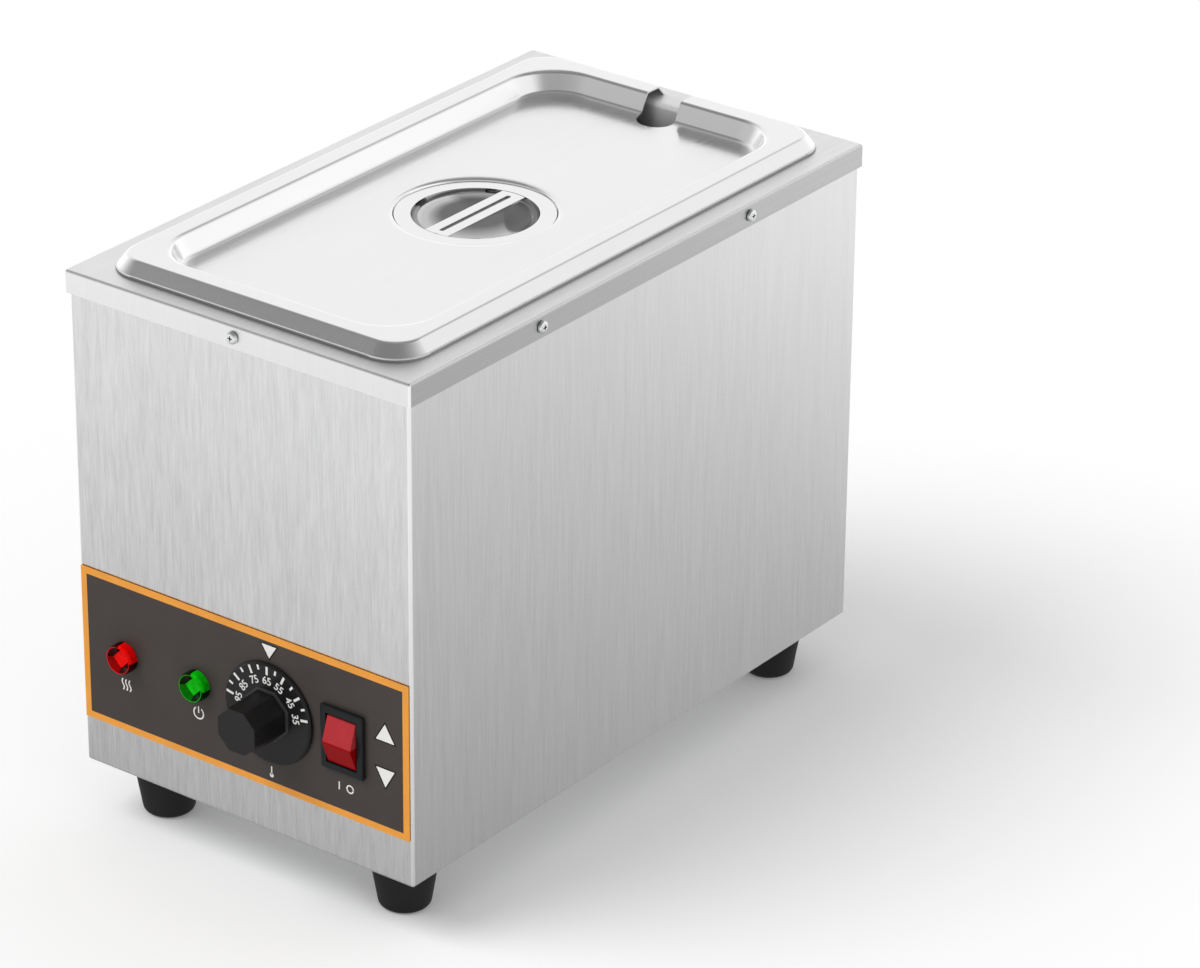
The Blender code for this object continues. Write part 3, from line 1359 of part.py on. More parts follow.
def make_gland():
    """The cable gland in the rear wall: body, sealing ring, domed cap and locknut."""
    location = (GLAND_X, HOUSING_FACE, GLAND_HEIGHT)
    spigot_end = GLAND_SPIGOT_START + GLAND_SPIGOT
    seat = GLAND_THREAD_RADIUS - GLAND_SPIGOT_WALL
    make_gland_body(location, seat, spigot_end)

    seal_outlines = [
        polygon(seat - SEAT_GAP, 2 * TINY_SIDES),
        polygon(GLAND_ENTRY_RADIUS, SMALL_SIDES),
    ]
    seal = flat_curve("cord_gland_seal", seal_outlines, GLAND_SEAL_SEAT + GLAND_SEAL_REACH)
    seal_y = HOUSING_FACE + spigot_end + (GLAND_SEAL_REACH - GLAND_SEAL_SEAT) / 2
    add_part("cord_gland_seal", seal, BLACK_RUBBER, (GLAND_X, seal_y, GLAND_HEIGHT), BACK)

    cap = turned_mesh("cord_gland_cap", gland_cap_profile(), 2 * TINY_SIDES)
    add_part("cord_gland_cap", cap, BLACK_NYLON, location, BACK)

    nut_outlines = [
        polygon(GLAND_NUT_RADIUS, HEX_SIDES),
        polygon(GLAND_THREAD_RADIUS + SEAT_GAP, 2 * TINY_SIDES),
    ]
    nut = flat_curve("cord_gland_locknut", nut_outlines, GLAND_NUT_THICKNESS)
    nut_y = HOUSING_INSIDE - SEAT_GAP - GLAND_NUT_THICKNESS / 2
    add_part("cord_gland_locknut", nut, BLACK_NYLON, (GLAND_X, nut_y, GLAND_HEIGHT), BACK)


def make_terminals():
    """The terminal block and the earth stud with its nut, on the rear flange."""
    size = (BLOCK_WIDTH, BLOCK_DEPTH, BLOCK_HEIGHT)
    mesh = box_mesh("terminal_block", size, (0, 0, BLOCK_HEIGHT / 2))
    block = add_part("terminal_block", mesh, WHITE_NYLON, (BLOCK_X, BLOCK_Y, BLOCK_BOTTOM))
    soften(block, BLOCK_EDGE)
    well = round_mesh(
        "terminal_well", BLOCK_WELL_RADIUS, -BLOCK_WELL_DEPTH, CUT_OVERRUN, TINY_SIDES
    )
    for number in (-1, 0, 1):
        x, _, _ = block_port(number)
        well_place = (x, BLOCK_Y, BLOCK_BOTTOM + BLOCK_HEIGHT)
        combine(block, add_cutter(f"terminal_well_{number + 1}", well, well_place))

    stud = round_mesh("earth_stud", EARTH_RADIUS, 0, EARTH_LENGTH, TINY_SIDES)
    add_part("earth_stud", stud, BRASS, (EARTH_X, BLOCK_Y, BLOCK_BOTTOM))
    outlines = [
        polygon(EARTH_NUT_RADIUS, HEX_SIDES),
        polygon(EARTH_RADIUS + SEAT_GAP, TINY_SIDES),
    ]
    nut = flat_curve("earth_nut", outlines, EARTH_NUT_THICKNESS)
    nut_place = (EARTH_X, BLOCK_Y, BLOCK_BOTTOM + EARTH_NUT_THICKNESS / 2)
    add_part("earth_nut", nut, BRASS, nut_place)


def wire_routes():
    """Name, material and corners of each wire."""
    tab_y = SEAT_GAP - SWITCH_TAB_END
    body_y = SEAT_GAP - THERMOSTAT_BACK
    lamp_y = SEAT_GAP - LAMP_BACK
    turn_y = tab_y + WIRE_TAIL
    port_turn_y = BLOCK_FRONT - SEAT_GAP - WIRE_TAIL
    leg_end = ELEMENT_BOTTOM - SEAT_GAP
    leg_turn = leg_end - WIRE_TAIL
    row = CONTROL_HEIGHT
    low_row = row - WIRE_DROP
    left_port, middle_port, right_port = [block_port(number) for number in (-1, 0, 1)]
    left_tab = SWITCH_X - TAB_SPREAD
    right_tab = SWITCH_X + TAB_SPREAD
    input_x = DIAL_X + BOSS_RADIUS
    output_x = DIAL_X - BOSS_RADIUS
    lamp_live = GREEN_LAMP_X - WIRE_OFFSET
    lamp_neutral = GREEN_LAMP_X + WIRE_OFFSET
    return (
        (
            "wire_live",
            WIRE_BROWN,
            (
                right_port,
                (right_port[0], port_turn_y, WIRE_PORT_HEIGHT),
                (right_tab, turn_y, row),
                (right_tab, tab_y, row),
            ),
        ),
        (
            "wire_switched",
            WIRE_BROWN,
            (
                (left_tab, tab_y, row),
                (left_tab, turn_y, row),
                (input_x, turn_y, row),
                (input_x, body_y, row),
            ),
        ),
        (
            "wire_element",
            WIRE_BROWN,
            (
                (output_x, body_y, low_row),
                (output_x, turn_y, low_row),
                (ELEMENT_SPREAD, ELEMENT_END, leg_turn),
                (ELEMENT_SPREAD, ELEMENT_END, leg_end),
            ),
        ),
        (
            "wire_neutral",
            WIRE_BLUE,
            (
                (-ELEMENT_SPREAD, ELEMENT_END, leg_end),
                (-ELEMENT_SPREAD, ELEMENT_END, leg_turn),
                (left_port[0], port_turn_y, WIRE_PORT_HEIGHT),
                left_port,
            ),
        ),
        (
            "wire_lamp_link",
            WIRE_BLUE,
            (
                (RED_LAMP_X, lamp_y, row),
                (RED_LAMP_X, turn_y, row),
                (lamp_live, turn_y, row),
                (lamp_live, lamp_y, row),
            ),
        ),
        (
            "wire_lamp_neutral",
            WIRE_BLUE,
            (
                (lamp_neutral, lamp_y, row),
                (lamp_neutral, turn_y, row),
                (middle_port[0], port_turn_y, WIRE_PORT_HEIGHT),
                middle_port,
            ),
        ),
    )


def make_wires():
    """The wires between the block, the switch, the thermostat, the lamps and the element."""
    for name, material, corners in wire_routes():
        route = rounded_route(corners, WIRE_BEND)
        add_part(name, tube_curve(name, route, WIRE_RADIUS), material)


def main():
    """Makes every piece."""
    screw_holes = deck_screw_holes()
    make_housing(screw_holes)
    make_deck(screw_holes)
    make_base_plate()
    make_feet()
    make_deck_screws()
    make_tank()
    make_pan()
    make_lid()
    make_handle()
    make_label()
    make_lamp("red", RED_LAMP_X, RED_LENS)
    make_lamp("green", GREEN_LAMP_X, GREEN_LENS)
    make_knob()
    make_shaft()
    make_thermostat()
    make_sensor()
    make_switch()
    make_element()
    make_gland()
    make_terminals()
    make_wires()


main()
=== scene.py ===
"""Looks of the counter-top chocolate melter, laid out as a Blender add-on.

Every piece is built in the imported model's own frame: metres, +Z up, front towards -Y, and the
origin on the counter under the middle of the machine.
"""

import json
import math

import bmesh
import bpy
from bpy.props import FloatProperty, FloatVectorProperty, PointerProperty
from bpy.types import Operator, Panel, PropertyGroup
from mathutils import Matrix, Vector

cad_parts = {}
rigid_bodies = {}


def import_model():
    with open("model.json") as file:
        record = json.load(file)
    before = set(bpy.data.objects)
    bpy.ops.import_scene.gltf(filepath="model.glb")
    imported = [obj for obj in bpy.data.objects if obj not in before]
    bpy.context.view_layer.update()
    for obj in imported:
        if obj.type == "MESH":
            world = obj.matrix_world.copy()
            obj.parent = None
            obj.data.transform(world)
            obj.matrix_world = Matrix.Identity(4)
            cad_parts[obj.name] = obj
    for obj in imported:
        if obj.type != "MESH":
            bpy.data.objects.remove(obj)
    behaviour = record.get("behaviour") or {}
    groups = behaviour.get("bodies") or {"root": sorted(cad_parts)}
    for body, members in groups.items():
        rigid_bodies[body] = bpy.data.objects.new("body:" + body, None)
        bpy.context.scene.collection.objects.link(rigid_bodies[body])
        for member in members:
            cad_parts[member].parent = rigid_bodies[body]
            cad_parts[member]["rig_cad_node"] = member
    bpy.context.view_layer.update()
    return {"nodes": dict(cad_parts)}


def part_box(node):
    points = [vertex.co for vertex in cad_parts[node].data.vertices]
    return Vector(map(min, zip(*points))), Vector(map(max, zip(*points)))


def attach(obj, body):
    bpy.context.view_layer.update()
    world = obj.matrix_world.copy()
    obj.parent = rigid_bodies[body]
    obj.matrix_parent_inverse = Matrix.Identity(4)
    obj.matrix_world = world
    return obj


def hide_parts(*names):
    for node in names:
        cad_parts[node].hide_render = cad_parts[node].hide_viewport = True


bl_info = {
    "name": "Counter-top chocolate melter",
    "version": (1, 0, 0),
    "blender": (4, 5, 0),
    "location": "3D View > Sidebar > Melter",
    "description": "Builds the visible pieces and finishes of a counter-top chocolate melter",
    "category": "Add Mesh",
}

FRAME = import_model()

# Places read from the frame
SHELL_LOW, SHELL_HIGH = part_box("housing_shell")
DECK_LOW, DECK_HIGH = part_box("top_deck")
TANK_LOW, TANK_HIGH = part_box("water_tank")
PAN_LOW, PAN_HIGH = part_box("food_pan")
LID_LOW, LID_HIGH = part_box("lid")
_, CUP_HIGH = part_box("lid_handle_cup")
BAR_LOW, BAR_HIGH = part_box("lid_handle_bar")
LABEL_LOW, LABEL_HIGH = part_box("control_label")
KNOB_LOW, KNOB_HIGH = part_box("thermostat_knob")
BEZEL_LOW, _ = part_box("switch_housing")
MIDDLE = (DECK_LOW + DECK_HIGH) / 2
CONTROL_HEIGHT = (LABEL_LOW.z + LABEL_HIGH.z) / 2
LABEL_FACE = LABEL_LOW.y

# Clearances and counts of facets
CUT_OVERRUN = 0.002
WELD_DISTANCE = 0.00001
PRINT_LIFT = 0.00004
REST_GAP = 0.00004
CORNER_STEPS = 18
BEND_STEPS = 7
SMALL_BEND_STEPS = 3
FINE_BEND_STEPS = 2
ROUND_SIDES = 96
MOULDED_SIDES = 64
SMALL_SIDES = 32
SMOOTH_ANGLE = math.radians(32)

# Directions, and the names of pieces that come more than once
FRONT = (0, -1, 0)
REAR = (0, 1, 0)
RIGHT = (1, 0, 0)
LEFT = (-1, 0, 0)
CORNER_SIGNS = ((1, 1), (-1, 1), (-1, -1), (1, -1))
FOOT_NAMES = ("front_left", "front_right", "rear_left", "rear_right")
SCREW_DIRECTIONS = {
    "front": FRONT,
    "rear": REAR,
    "right_front": RIGHT,
    "right_rear": RIGHT,
    "left_front": LEFT,
    "left_rear": LEFT,
}

# Holes: radii, half sizes, and how far the cutters reach on both sides of a face
LAMP_HOLE = 0.0053
SHAFT_HOLE = 0.0033
WALL_SCREW_HOLE = 0.0018
LABEL_SCREW_HOLE = 0.0030
SWITCH_HOLE_X = 0.0111
SWITCH_HOLE_Z = 0.0140
GLAND_HOLE = 0.0077
FOOT_SCREW_HOLE = 0.0023
DECK_SCREW_HOLE = 0.0017
BUSHING_HOLE = 0.0073
WALL_REACH = 0.008
LABEL_REACH = 0.003
DECK_REACH = 0.004
SCREW_REACH = 0.006
NOTCH_CUT = 0.01

# Feet and deck screws
FOOT_EDGE = 0.0016
FOOT_ROUNDING = 0.0012
FOOT_POCKET = 0.0050
FOOT_POCKET_DEPTH = 0.0180
SCREW_SHANK_SHARE = 0.47
SCREW_DOME = 0.0011
SCREW_HEAD = 0.0018
SCREW_LENGTH = 0.0070
SCREW_STEPS = 12
RECESS_SHARE = 0.42
RECESS_WIDTH = 0.0006
RECESS_DEPTH = 0.0009
RECESS_SLACK = 0.1

# Tank, pan, lid and handle
OPENING_GAP = 0.0035
TANK_FLANGE = 0.009
TANK_FLOOR_RUN = 0.0136
TANK_BENDS = (0.0016, 0.012)
PAN_FLOOR_CORNER = 0.018
PAN_FLOOR_RUN = 0.015
PAN_BENDS = (0.0011, 0.0025, 0.010)
SEAT_RUN = 0.0009
SEAT_HOLE = 0.0335
LID_BENDS = (0.0009, 0.0014, 0.0018, 0.0010, 0.0003)
CUP_LIP = 0.0007
CUP_STEPS = 16
CUP_ROUNDING = 0.0003
BAR_STEPS = 8
BAR_ROUNDING = 0.0002
GROOVE_DEPTH = 0.0009
GROOVE_END = 0.0040
GROOVE_FLAT = 0.0001
GROOVE_STEPS = 6
GROOVE_LIMIT = 0.51

# Lamp lenses and the rocker
LENS_BEVEL = 0.0011
LENS_RIM_SHARE = 0.90
LENS_SQUARE_SHARE = 0.62
LENS_DISH = 0.0022
LENS_STEM = 0.0034
LENS_STEM_LENGTH = 0.0040
# Quarters of the lens, and lit and darker copies of its plastic, which paint shade on the facets
LENS_SHADED_QUARTERS = (0, 2, 1, 2)
LENS_PAINTED_SHADES = (("painted_lit", 1), ("middle", 0.30), ("painted_dark", 0.03))
ROCKER_FOOT_HEIGHT = 0.0008
ROCKER_FOOT_DEPTH = 0.0075
ROCKER_FOOT_REACH = 0.0022
ROCKER_RIDGE_SHARE = 0.5
ROCKER_BLEND = 0.0002

# Knob: its skirt, its grip and its print. Heights count from the label's face.
SKIRT_HEIGHT = 0.0020
SKIRT_EDGE = 0.0010
SKIRT_WALL = 0.0014
SKIRT_HOLLOW = 0.0008
SKIRT_HUB = 0.0060
KNOB_ROUNDING = 0.0003
KNOB_FOOT = LABEL_FACE - KNOB_HIGH.y
SKIRT_TOP = KNOB_FOOT + SKIRT_HEIGHT
GRIP_SIDES = 8
GRIP_SINK = 0.0005
LAND_EDGE = 0.0004
LAND_TOP = 0.0007
LAND_LIMIT = 0.0008
LAND_SHARE = 0.9
FIGURE_RADIUS = 0.0170
FIGURE_TYPE_SHARE = 1.38
FIGURE_WEIGHT = 0.018
TICK_END = 0.0244
FIGURE_TICK = (0.00125, 0.0202)
HALFWAY_TICK = (0.0011, 0.0220)
DIAL_FIGURES = (
    (35, 9.6),
    (45, 36.9),
    (55, 64.6),
    (65, 89.0),
    (75, 114.8),
    (85, 142.5),
    (95, 168.6),
)

# Print of the label. The triangles are points of (x, height above the housing's foot), the first
# one about the dial's axis. The parts of the symbols are shares of their size, arcs are in turns.
DIAL_MARK = ((0, 0.0914), (0.0043, 0.0980), (-0.0043, 0.0980))
UP_MARK = ((0.0784, 0.0713), (0.0890, 0.0713), (0.0837, 0.0800))
DOWN_MARK = ((0.0784, 0.0571), (0.0837, 0.0479), (0.0890, 0.0571))
MARK_OUTLINE = 0.0007
SYMBOL_LINE = 0.0007
SYMBOL_SIZE = 0.0058
SYMBOL_DROP = 0.0150
SYMBOL_DIAL_RISE = 0.0085
SYMBOL_SWITCH_DROP = 0.0080
WAVE_STEPS = 24
WAVE_SPACING = 0.36
WAVE_SWAY = 0.1
ARC_STEPS = 28
POWER_ARC = (-0.66, 0.16)
POWER_STROKE = 0.6
BULB_RADIUS = 0.2
BULB_DROP = 0.3
STEM_DROP = 0.25
ON_OFFSET = 0.6
ON_REACH = 0.35
OFF_OFFSET = 0.5
OFF_RADIUS = 0.32
OFF_ARC = (0, 0.97)

# Shares of a direction from which a face counts as facing that way
MOSTLY = 0.5
SIDE_SHARE = 0.8
FOLD_SHARE = 0.22

# Shares of a finish's colour for painted light: darker copies paint shade, brighter copies paint
# highlights
SIDE_SKIRT_SHADE_TINT = 0.56
FOLD_HIGHLIGHT_TINT = 1.32
RIM_SHADE_TINT = 0.4
BOWL_SHADE_TINT = 0.62
GROOVE_SHADE_TINT = 0.45
LAND_SHEEN_TINT = 3

# Brushed metals: roughness, scales of the fine and the broad streaks along X, Y and Z, strength
# of the streaks, of the relief, and how metallic. The scales are small along the grain.
# Grain of the brighter fold finishes, which paint a highlight on the upright folds
FOLD_GRAIN = (0.40, (300, 300, 60), (90, 90, 12), 0.03, 0.1, 1)
BRUSHED = {
    "wall_steel": (0.30, (1000, 1000, 75), (330, 330, 28), 0.095, 0.2, 1),
    "side_steel": (0.30, (900, 900, 30), (300, 300, 18), 0.045, 0.06, 1),
    "wall_fold_highlight_steel": FOLD_GRAIN,
    "deck_steel": (0.42, (1150, 30, 30), (330, 12, 12), 0.03, 0.15, 1),
    # Finish that paints shade on the deck's side skirts
    "side_skirt_shade_steel": (0.30, (14, 14, 2300), (6, 6, 420), 0.04, 0.2, 1),
    "deck_fold_highlight_steel": FOLD_GRAIN,
    "zinc_plate": (0.28, (900, 900, 900), (300, 300, 300), 0.10, 0.2, 1),
    "tank_steel": (0.30, (700, 700, 60), (90, 90, 12), 0.05, 0.2, 1),
    "pan_steel": (0.5, (1500, 40, 1500), (160, 12, 160), 0.03, 0.1, 0.6),
    "pan_edge_shade_steel": (0.5, (900, 900, 900), (160, 160, 160), 0.05, 0.1, 1),
    "pan_outside_steel": (0.28, (900, 900, 60), (160, 160, 12), 0.04, 0.1, 1),
    "lid_steel": (0.20, (1500, 40, 1500), (160, 12, 160), 0.015, 0.1, 1),
    "handle_steel": (0.13, (900, 900, 900), (120, 120, 120), 0.01, 0.05, 1),
    "bowl_shade_steel": (0.10, (900, 900, 900), (120, 120, 120), 0.01, 0.05, 1),
    "groove_shade_steel": (0.4, (900, 900, 900), (120, 120, 120), 0.05, 0.1, 1),
    "brass": (0.3, (900, 900, 60), (200, 200, 30), 0.08, 0.25, 1),
    "copper": (0.35, (400, 60, 400), (90, 30, 90), 0.12, 0.25, 1),
    "element_sheath": (0.35, (300, 300, 300), (60, 60, 60), 0.12, 0.25, 1),
}
STREAK_DETAIL = 2
BROAD_STREAKS = 0.1
STREAK_RANGE = (0, 1, 0.25, 0.75)
STREAK_RELIEF = 0.00002

# Moulded finishes: roughness, scale of the texture, strength of the relief, spread of the
# colour and level of the reflections
INSULATION = (0.5, 700, 0.1, 0.08, 0.5)
MOULDED = {
    "foot_rubber": (0.62, 900, 0.4, 0.2, 0.25),
    "screw_recess_shade": (0.6, 900, 0.3, 0.12, 0.5),
    "label_ground": (0.42, 1400, 0.12, 0.06, 0.2),
    "border_ink": (0.40, 1400, 0.08, 0.05, 0.3),
    "white_ink": (0.45, 1400, 0.06, 0.04, 0.4),
    "mark_outline": (0.45, 1400, 0.06, 0.04, 0.2),
    "knob_bakelite": (0.36, 1100, 0.2, 0.15, 0.3),
    "land_sheen_bakelite": (0.4, 1100, 0.2, 0.15, 0.3),
    "rocker_plastic": (0.34, 500, 0.06, 0.06, 0.05),
    "switch_nylon": (0.36, 1200, 0.25, 0.1, 0.22),
    "white_nylon": (0.50, 600, 0.2, 0.06, 0.5),
    "gland_nylon": (0.42, 900, 0.3, 0.12, 0.5),
    "thermostat_bakelite": (0.45, 700, 0.2, 0.15, 0.5),
    "seal_rubber": (0.7, 800, 0.3, 0.2, 0.4),
    "silicone": (0.6, 500, 0.2, 0.08, 0.5),
    "brown_insulation": INSULATION,
    "blue_insulation": INSULATION,
}
TEXTURE_DETAIL = 4
TEXTURE_ROUGHNESS = 0.6
CLOUD_SCALE = (70, 70, 70)
CLOUD_DETAIL = 3
MOULDED_RELIEF = 0.00003

# How far the grain and the handling spread the roughness of every finish
GRAIN_SHEEN = 0.05
HANDLED_SHEEN = 0.03
HANDLED_SCALE = (9, 9, 9)
HANDLED_DETAIL = 4

# Plastic of the lenses
LENS_INDEX = 1.49
LENS_SPECULAR = 0.05
LENS_WAVES = (420, 420, 420)
LENS_DETAIL = 2
LENS_SPREAD = 0.2
LENS_ROUGHNESS = (0.08, 0.18)
LENS_RELIEF = (0.15, 0.0001)

# Brightness of the floor and the sky as metal sees them: from and to a value, over a range of
# places in metres for the floor, and of directions for the sky
FLOOR_ROUGHNESS = 0.9
FLOOR_NEAR = (0.46, 0.96, 0, 0.5)
FLOOR_SIDE = (0.92, 1.20, -0.2, 0.15)
FLOOR_FRONT = (1.14, 0, -0.2, -0.12)
SKY_FRONT = (0.60, 0.23, 0.35, 0.70)
SKY_ABOVE = (1, 0.30, 0.52, 0.80)
SKY_LOW = (1.25, 1, 0.10, 0.38)
SKY_TURN = (0, 1, -0.36, 0)
WHITE = (1, 1, 1, 1)

# Key light and camera
LIGHT_SPREAD = math.radians(35)
LIGHT_TOWARDS = (0.45, 0.55, -1.0)
CAMERA_PLACE = (1.3871, -1.7533, 1.2349)
CAMERA_AZIMUTH = math.radians(36.797)
CAMERA_ELEVATION = math.radians(26.135)
CAMERA_ROLL = math.radians(0.526)
CAMERA_SENSOR = 36
CAMERA_RANGE = 100


# Settings


def length(name, description, default):
    """A length setting in metres."""
    return FloatProperty(
        name=name, description=description, default=default, min=0, precision=5, unit="LENGTH"
    )


def colour(name, description, default):
    """A colour setting."""
    return FloatVectorProperty(
        name=name, description=description, default=default, size=3, min=0, max=1, subtype="COLOR"
    )


class MelterSizes(PropertyGroup):
    """Sizes of the details that the frame's boxes don't give."""

    wall_sheet: length("Wall sheet", "Thickness of the housing's sheet", 0.0008)
    wall_fold: length("Wall fold", "Outer radius of the housing's folds", 0.0018)
    wall_flange: length("Bottom flange", "Width of the housing's return flange", 0.036)
    deck_sheet: length("Deck sheet", "Thickness of the deck's sheet", 0.001)
    deck_fold: length("Deck fold", "Outer radius of the deck's folds", 0.0013)
    opening_corner: length("Opening corner", "Corner radius of the deck's opening", 0.0263)
    pan_sheet: length("Pan sheet", "Thickness of the pan's sheet", 0.0008)
    pan_flange: length("Pan flange", "Width of the pan's flange", 0.0125)
    pan_corner: length("Pan corner", "Corner radius of the pan's walls", 0.022)
    pan_rim_corner: length("Pan rim corner", "Corner radius of the pan's rim", 0.019)
    pan_taper: length("Pan taper", "How far the pan's walls lean in", 0.009)
    lid_corner: length("Lid corner", "Corner radius of the lid's lip", 0.018)
    lip_run: length("Lip run", "Width of the lid's sloped lip", 0.0049)
    lid_rim: length("Lid rim", "Width of the lid's flat rim", 0.0096)
    recess_corner: length("Recess corner", "Corner radius of the lid's recess", 0.027)
    recess_depth: length("Recess depth", "Depth of the lid's recess", 0.010)
    recess_run: length("Recess run", "Width of the recess's sloped wall", 0.005)
    notch_width: length("Notch width", "Width of the ladle notch", 0.020)
    notch_reach: length("Notch reach", "How far the ladle notch reaches into the lid", 0.030)
    seat_radius: length("Handle seat", "Radius of the pressed seat for the handle", 0.0389)
    seat_drop: length("Seat drop", "Depth of the pressed seat", 0.0025)
    cup_radius: length("Cup radius", "Radius of the handle cup's mouth", 0.0301)
    cup_depth: length("Cup depth", "Depth of the handle cup", 0.015)
    groove_width: length("Bar groove", "Width of the groove in the handle bar", 0.0024)
    border_width: length("Label border", "Width of the label's printed border", 0.0034)
    knob_radius: length("Knob skirt", "Radius of the knob's skirt", 0.0255)
    grip_base: length("Grip base", "Radius of the grip at the skirt", 0.0125)
    grip_land: length("Grip land", "Width of the step at the grip's foot", 0.0013)
    grip_end: length("Grip end", "Radius of the grip at its face", 0.0118)
    figure_height: length("Figures", "Height of the dial's figures", 0.0039)
    lens_radius: length("Lens radius", "Radius of the lamp lenses", 0.0075)
    foot_top: length("Foot top", "Radius of a foot at the housing", 0.0167)
    foot_bottom: length("Foot bottom", "Radius of a foot at the counter", 0.0121)


class MelterColours(PropertyGroup):
    """Colours of the finishes."""

    wall_steel: colour("Wall steel", "Brushed steel of the housing", (0.74, 0.74, 0.745))
    deck_steel: colour("Deck steel", "Brushed steel of the deck", (0.89, 0.89, 0.895))
    lid_steel: colour("Lid steel", "Satin steel of the lid and the pan", (0.86, 0.86, 0.862))
    zinc: colour("Zinc", "Plated screws and small steel parts", (0.78, 0.79, 0.80))
    label: colour("Label", "Ground of the control label", (0.060, 0.050, 0.045))
    border: colour("Border", "Printed border of the label", (0.87, 0.35, 0.045))
    ink: colour("Ink", "White print on the label and the dial", (0.86, 0.85, 0.83))
    rubber: colour("Rubber", "Feet and the gland's sealing ring", (0.016, 0.016, 0.016))
    bakelite: colour("Knob", "Moulded knob and thermostat body", (0.009, 0.009, 0.0095))
    black_nylon: colour("Black nylon", "Switch housing and cable gland", (0.009, 0.011, 0.012))
    rocker: colour("Rocker", "Red rocker of the switch", (0.46, 0.037, 0.044))
    # Painted shade: darker colour for the rocker's lower half
    rocker_low: colour("Rocker foot", "Lower half of the rocker", (0.30, 0.001, 0.003))
    red_lens: colour("Red lens", "Lens of the heating lamp", (0.93, 0.002, 0.002))
    green_lens: colour("Green lens", "Lens of the power lamp", (0.003, 0.50, 0.004))
    white_nylon: colour("White nylon", "Lamp bodies and terminal block", (0.75, 0.74, 0.70))
    brass: colour("Brass", "Element fittings and earth stud", (0.70, 0.50, 0.22))
    silicone: colour("Silicone", "Gaskets of the heating element", (0.42, 0.09, 0.05))
    copper: colour("Copper", "Bulb and capillary", (0.72, 0.40, 0.27))
    brown_wire: colour("Brown wire", "Insulation of the live wires", (0.16, 0.07, 0.03))
    blue_wire: colour("Blue wire", "Insulation of the neutral wires", (0.03, 0.10, 0.40))


class MelterStage(PropertyGroup):
    """Light and floor round the object."""

    floor_size: FloatProperty(
        name="Floor", description="Side of the floor", default=24, min=1, unit="LENGTH"
    )
    floor_colour: colour("Floor colour", "Pale floor", (0.93, 0.93, 0.93))
    sky: FloatProperty(
        name="Sky", description="Strength of the soft light all round", default=0.62, min=0
    )
    sun: FloatProperty(
        name="Key light", description="Strength of the soft key light", default=1.35, min=0
    )
    glow: FloatProperty(
        name="Floor glow", description="Added to the floor that the eye sees", default=0.11, min=0
    )
    camera_lens: FloatProperty(
        name="Camera lens", description="Focal length in millimetres", default=157.13, min=1
    )


# Outlines


def rounded_rectangle(half_x, half_y, corner, steps=CORNER_STEPS):
    """Points of a rounded rectangle, counter-clockwise. Three like sizes give a circle."""
    points = []
    for quarter, (sign_x, sign_y) in enumerate(CORNER_SIGNS):
        for step in range(steps + 1):
            angle = (quarter + step / steps) * math.pi / 2
            x = sign_x * (half_x - corner) + corner * math.cos(angle)
            y = sign_y * (half_y - corner) + corner * math.sin(angle)
            points.append((x, y))
    return points


def circle(radius, sides):
    """Points of a circle, counter-clockwise."""
    angles = [2 * math.pi * side / sides for side in range(sides)]
    return [(radius * math.cos(angle), radius * math.sin(angle)) for angle in angles]


def rectangle(low_x, low_y, high_x, high_y):
    """Points of a rectangle, counter-clockwise."""
    return [(low_x, low_y), (high_x, low_y), (high_x, high_y), (low_x, high_y)]


def notch_outline(sizes):
    """Points of the ladle notch: round inside, open at the lid's back edge."""
    radius = sizes.notch_width / 2
    middle = LID_HIGH.y - sizes.notch_reach + radius
    outside = LID_HIGH.y + CUT_OVERRUN
    points = [(radius, outside), (-radius, outside)]
    for step in range(SMALL_SIDES + 1):
        angle = math.pi + math.pi * step / SMALL_SIDES
        points.append((radius * math.cos(angle), middle + radius * math.sin(angle)))
    return points


# Meshes


def mesh_from(shape, name, outwards=True):
    """A mesh from a bmesh, which is freed. The faces of closed shapes are turned outwards."""
    mesh = bpy.data.meshes.new(name)
    bmesh.ops.remove_doubles(shape, verts=shape.verts, dist=WELD_DISTANCE)
    if outwards:
        bmesh.ops.recalc_face_normals(shape, faces=shape.faces)
    shape.to_mesh(mesh)
    shape.free()
    return mesh


def ring(half_x, half_y, corner, height):
    """One rounded rectangle of a pressing."""
    return Vector((half_x, half_y, corner, height))


def round_ring(radius, height):
    """One circle of a pressing."""
    return ring(radius, radius, radius, height)


def inset(outer, distance, drop=0):
    """A ring inside another one by the same distance all round, and lower by a drop."""
    return outer - Vector((distance, distance, distance, drop))


def bend(start, corner, end, steps):
    """Points that round a corner between two places on its sides."""
    shares = [step / steps for step in range(steps + 1)]
    return [start.lerp(corner, share).lerp(corner.lerp(end, share), share) for share in shares]


def bent(rings, reaches):
    """Rounds a pressing at its inner rings. Each bend starts and ends its reach away."""
    smooth = [rings[0]]
    for before, corner, after, reach in zip(rings, rings[1:], rings[2:], reaches):
        back = before - corner
        ahead = after - corner
        start = corner + back * (reach / math.hypot(back[0], back[3]))
        end = corner + ahead * (reach / math.hypot(ahead[0], ahead[3]))
        smooth += bend(start, corner, end, BEND_STEPS)
    smooth.append(rings[-1])
    return smooth


def rounded_profile(points, radius, steps):
    """A profile of (radius, height) whose inner corners are rounded."""
    points = [Vector(point) for point in points]
    smooth = [points[0]]
    for before, corner, after in zip(points, points[1:], points[2:]):
        reach = min(radius, (before - corner).length / 2, (after - corner).length / 2)
        start = corner + (before - corner).normalized() * reach
        end = corner + (after - corner).normalized() * reach
        smooth += bend(start, corner, end, steps)
    smooth.append(points[-1])
    return [(point.x, point.y) for point in smooth]


def skin(shape, loops):
    """Adds the faces between closed loops of vertices to a bmesh, and returns them."""
    faces = []
    for lower, upper in zip(loops, loops[1:]):
        for k, vertex in enumerate(lower):
            after = (k + 1) % len(lower)
            faces.append(shape.faces.new((vertex, lower[after], upper[after], upper[k])))
    return faces


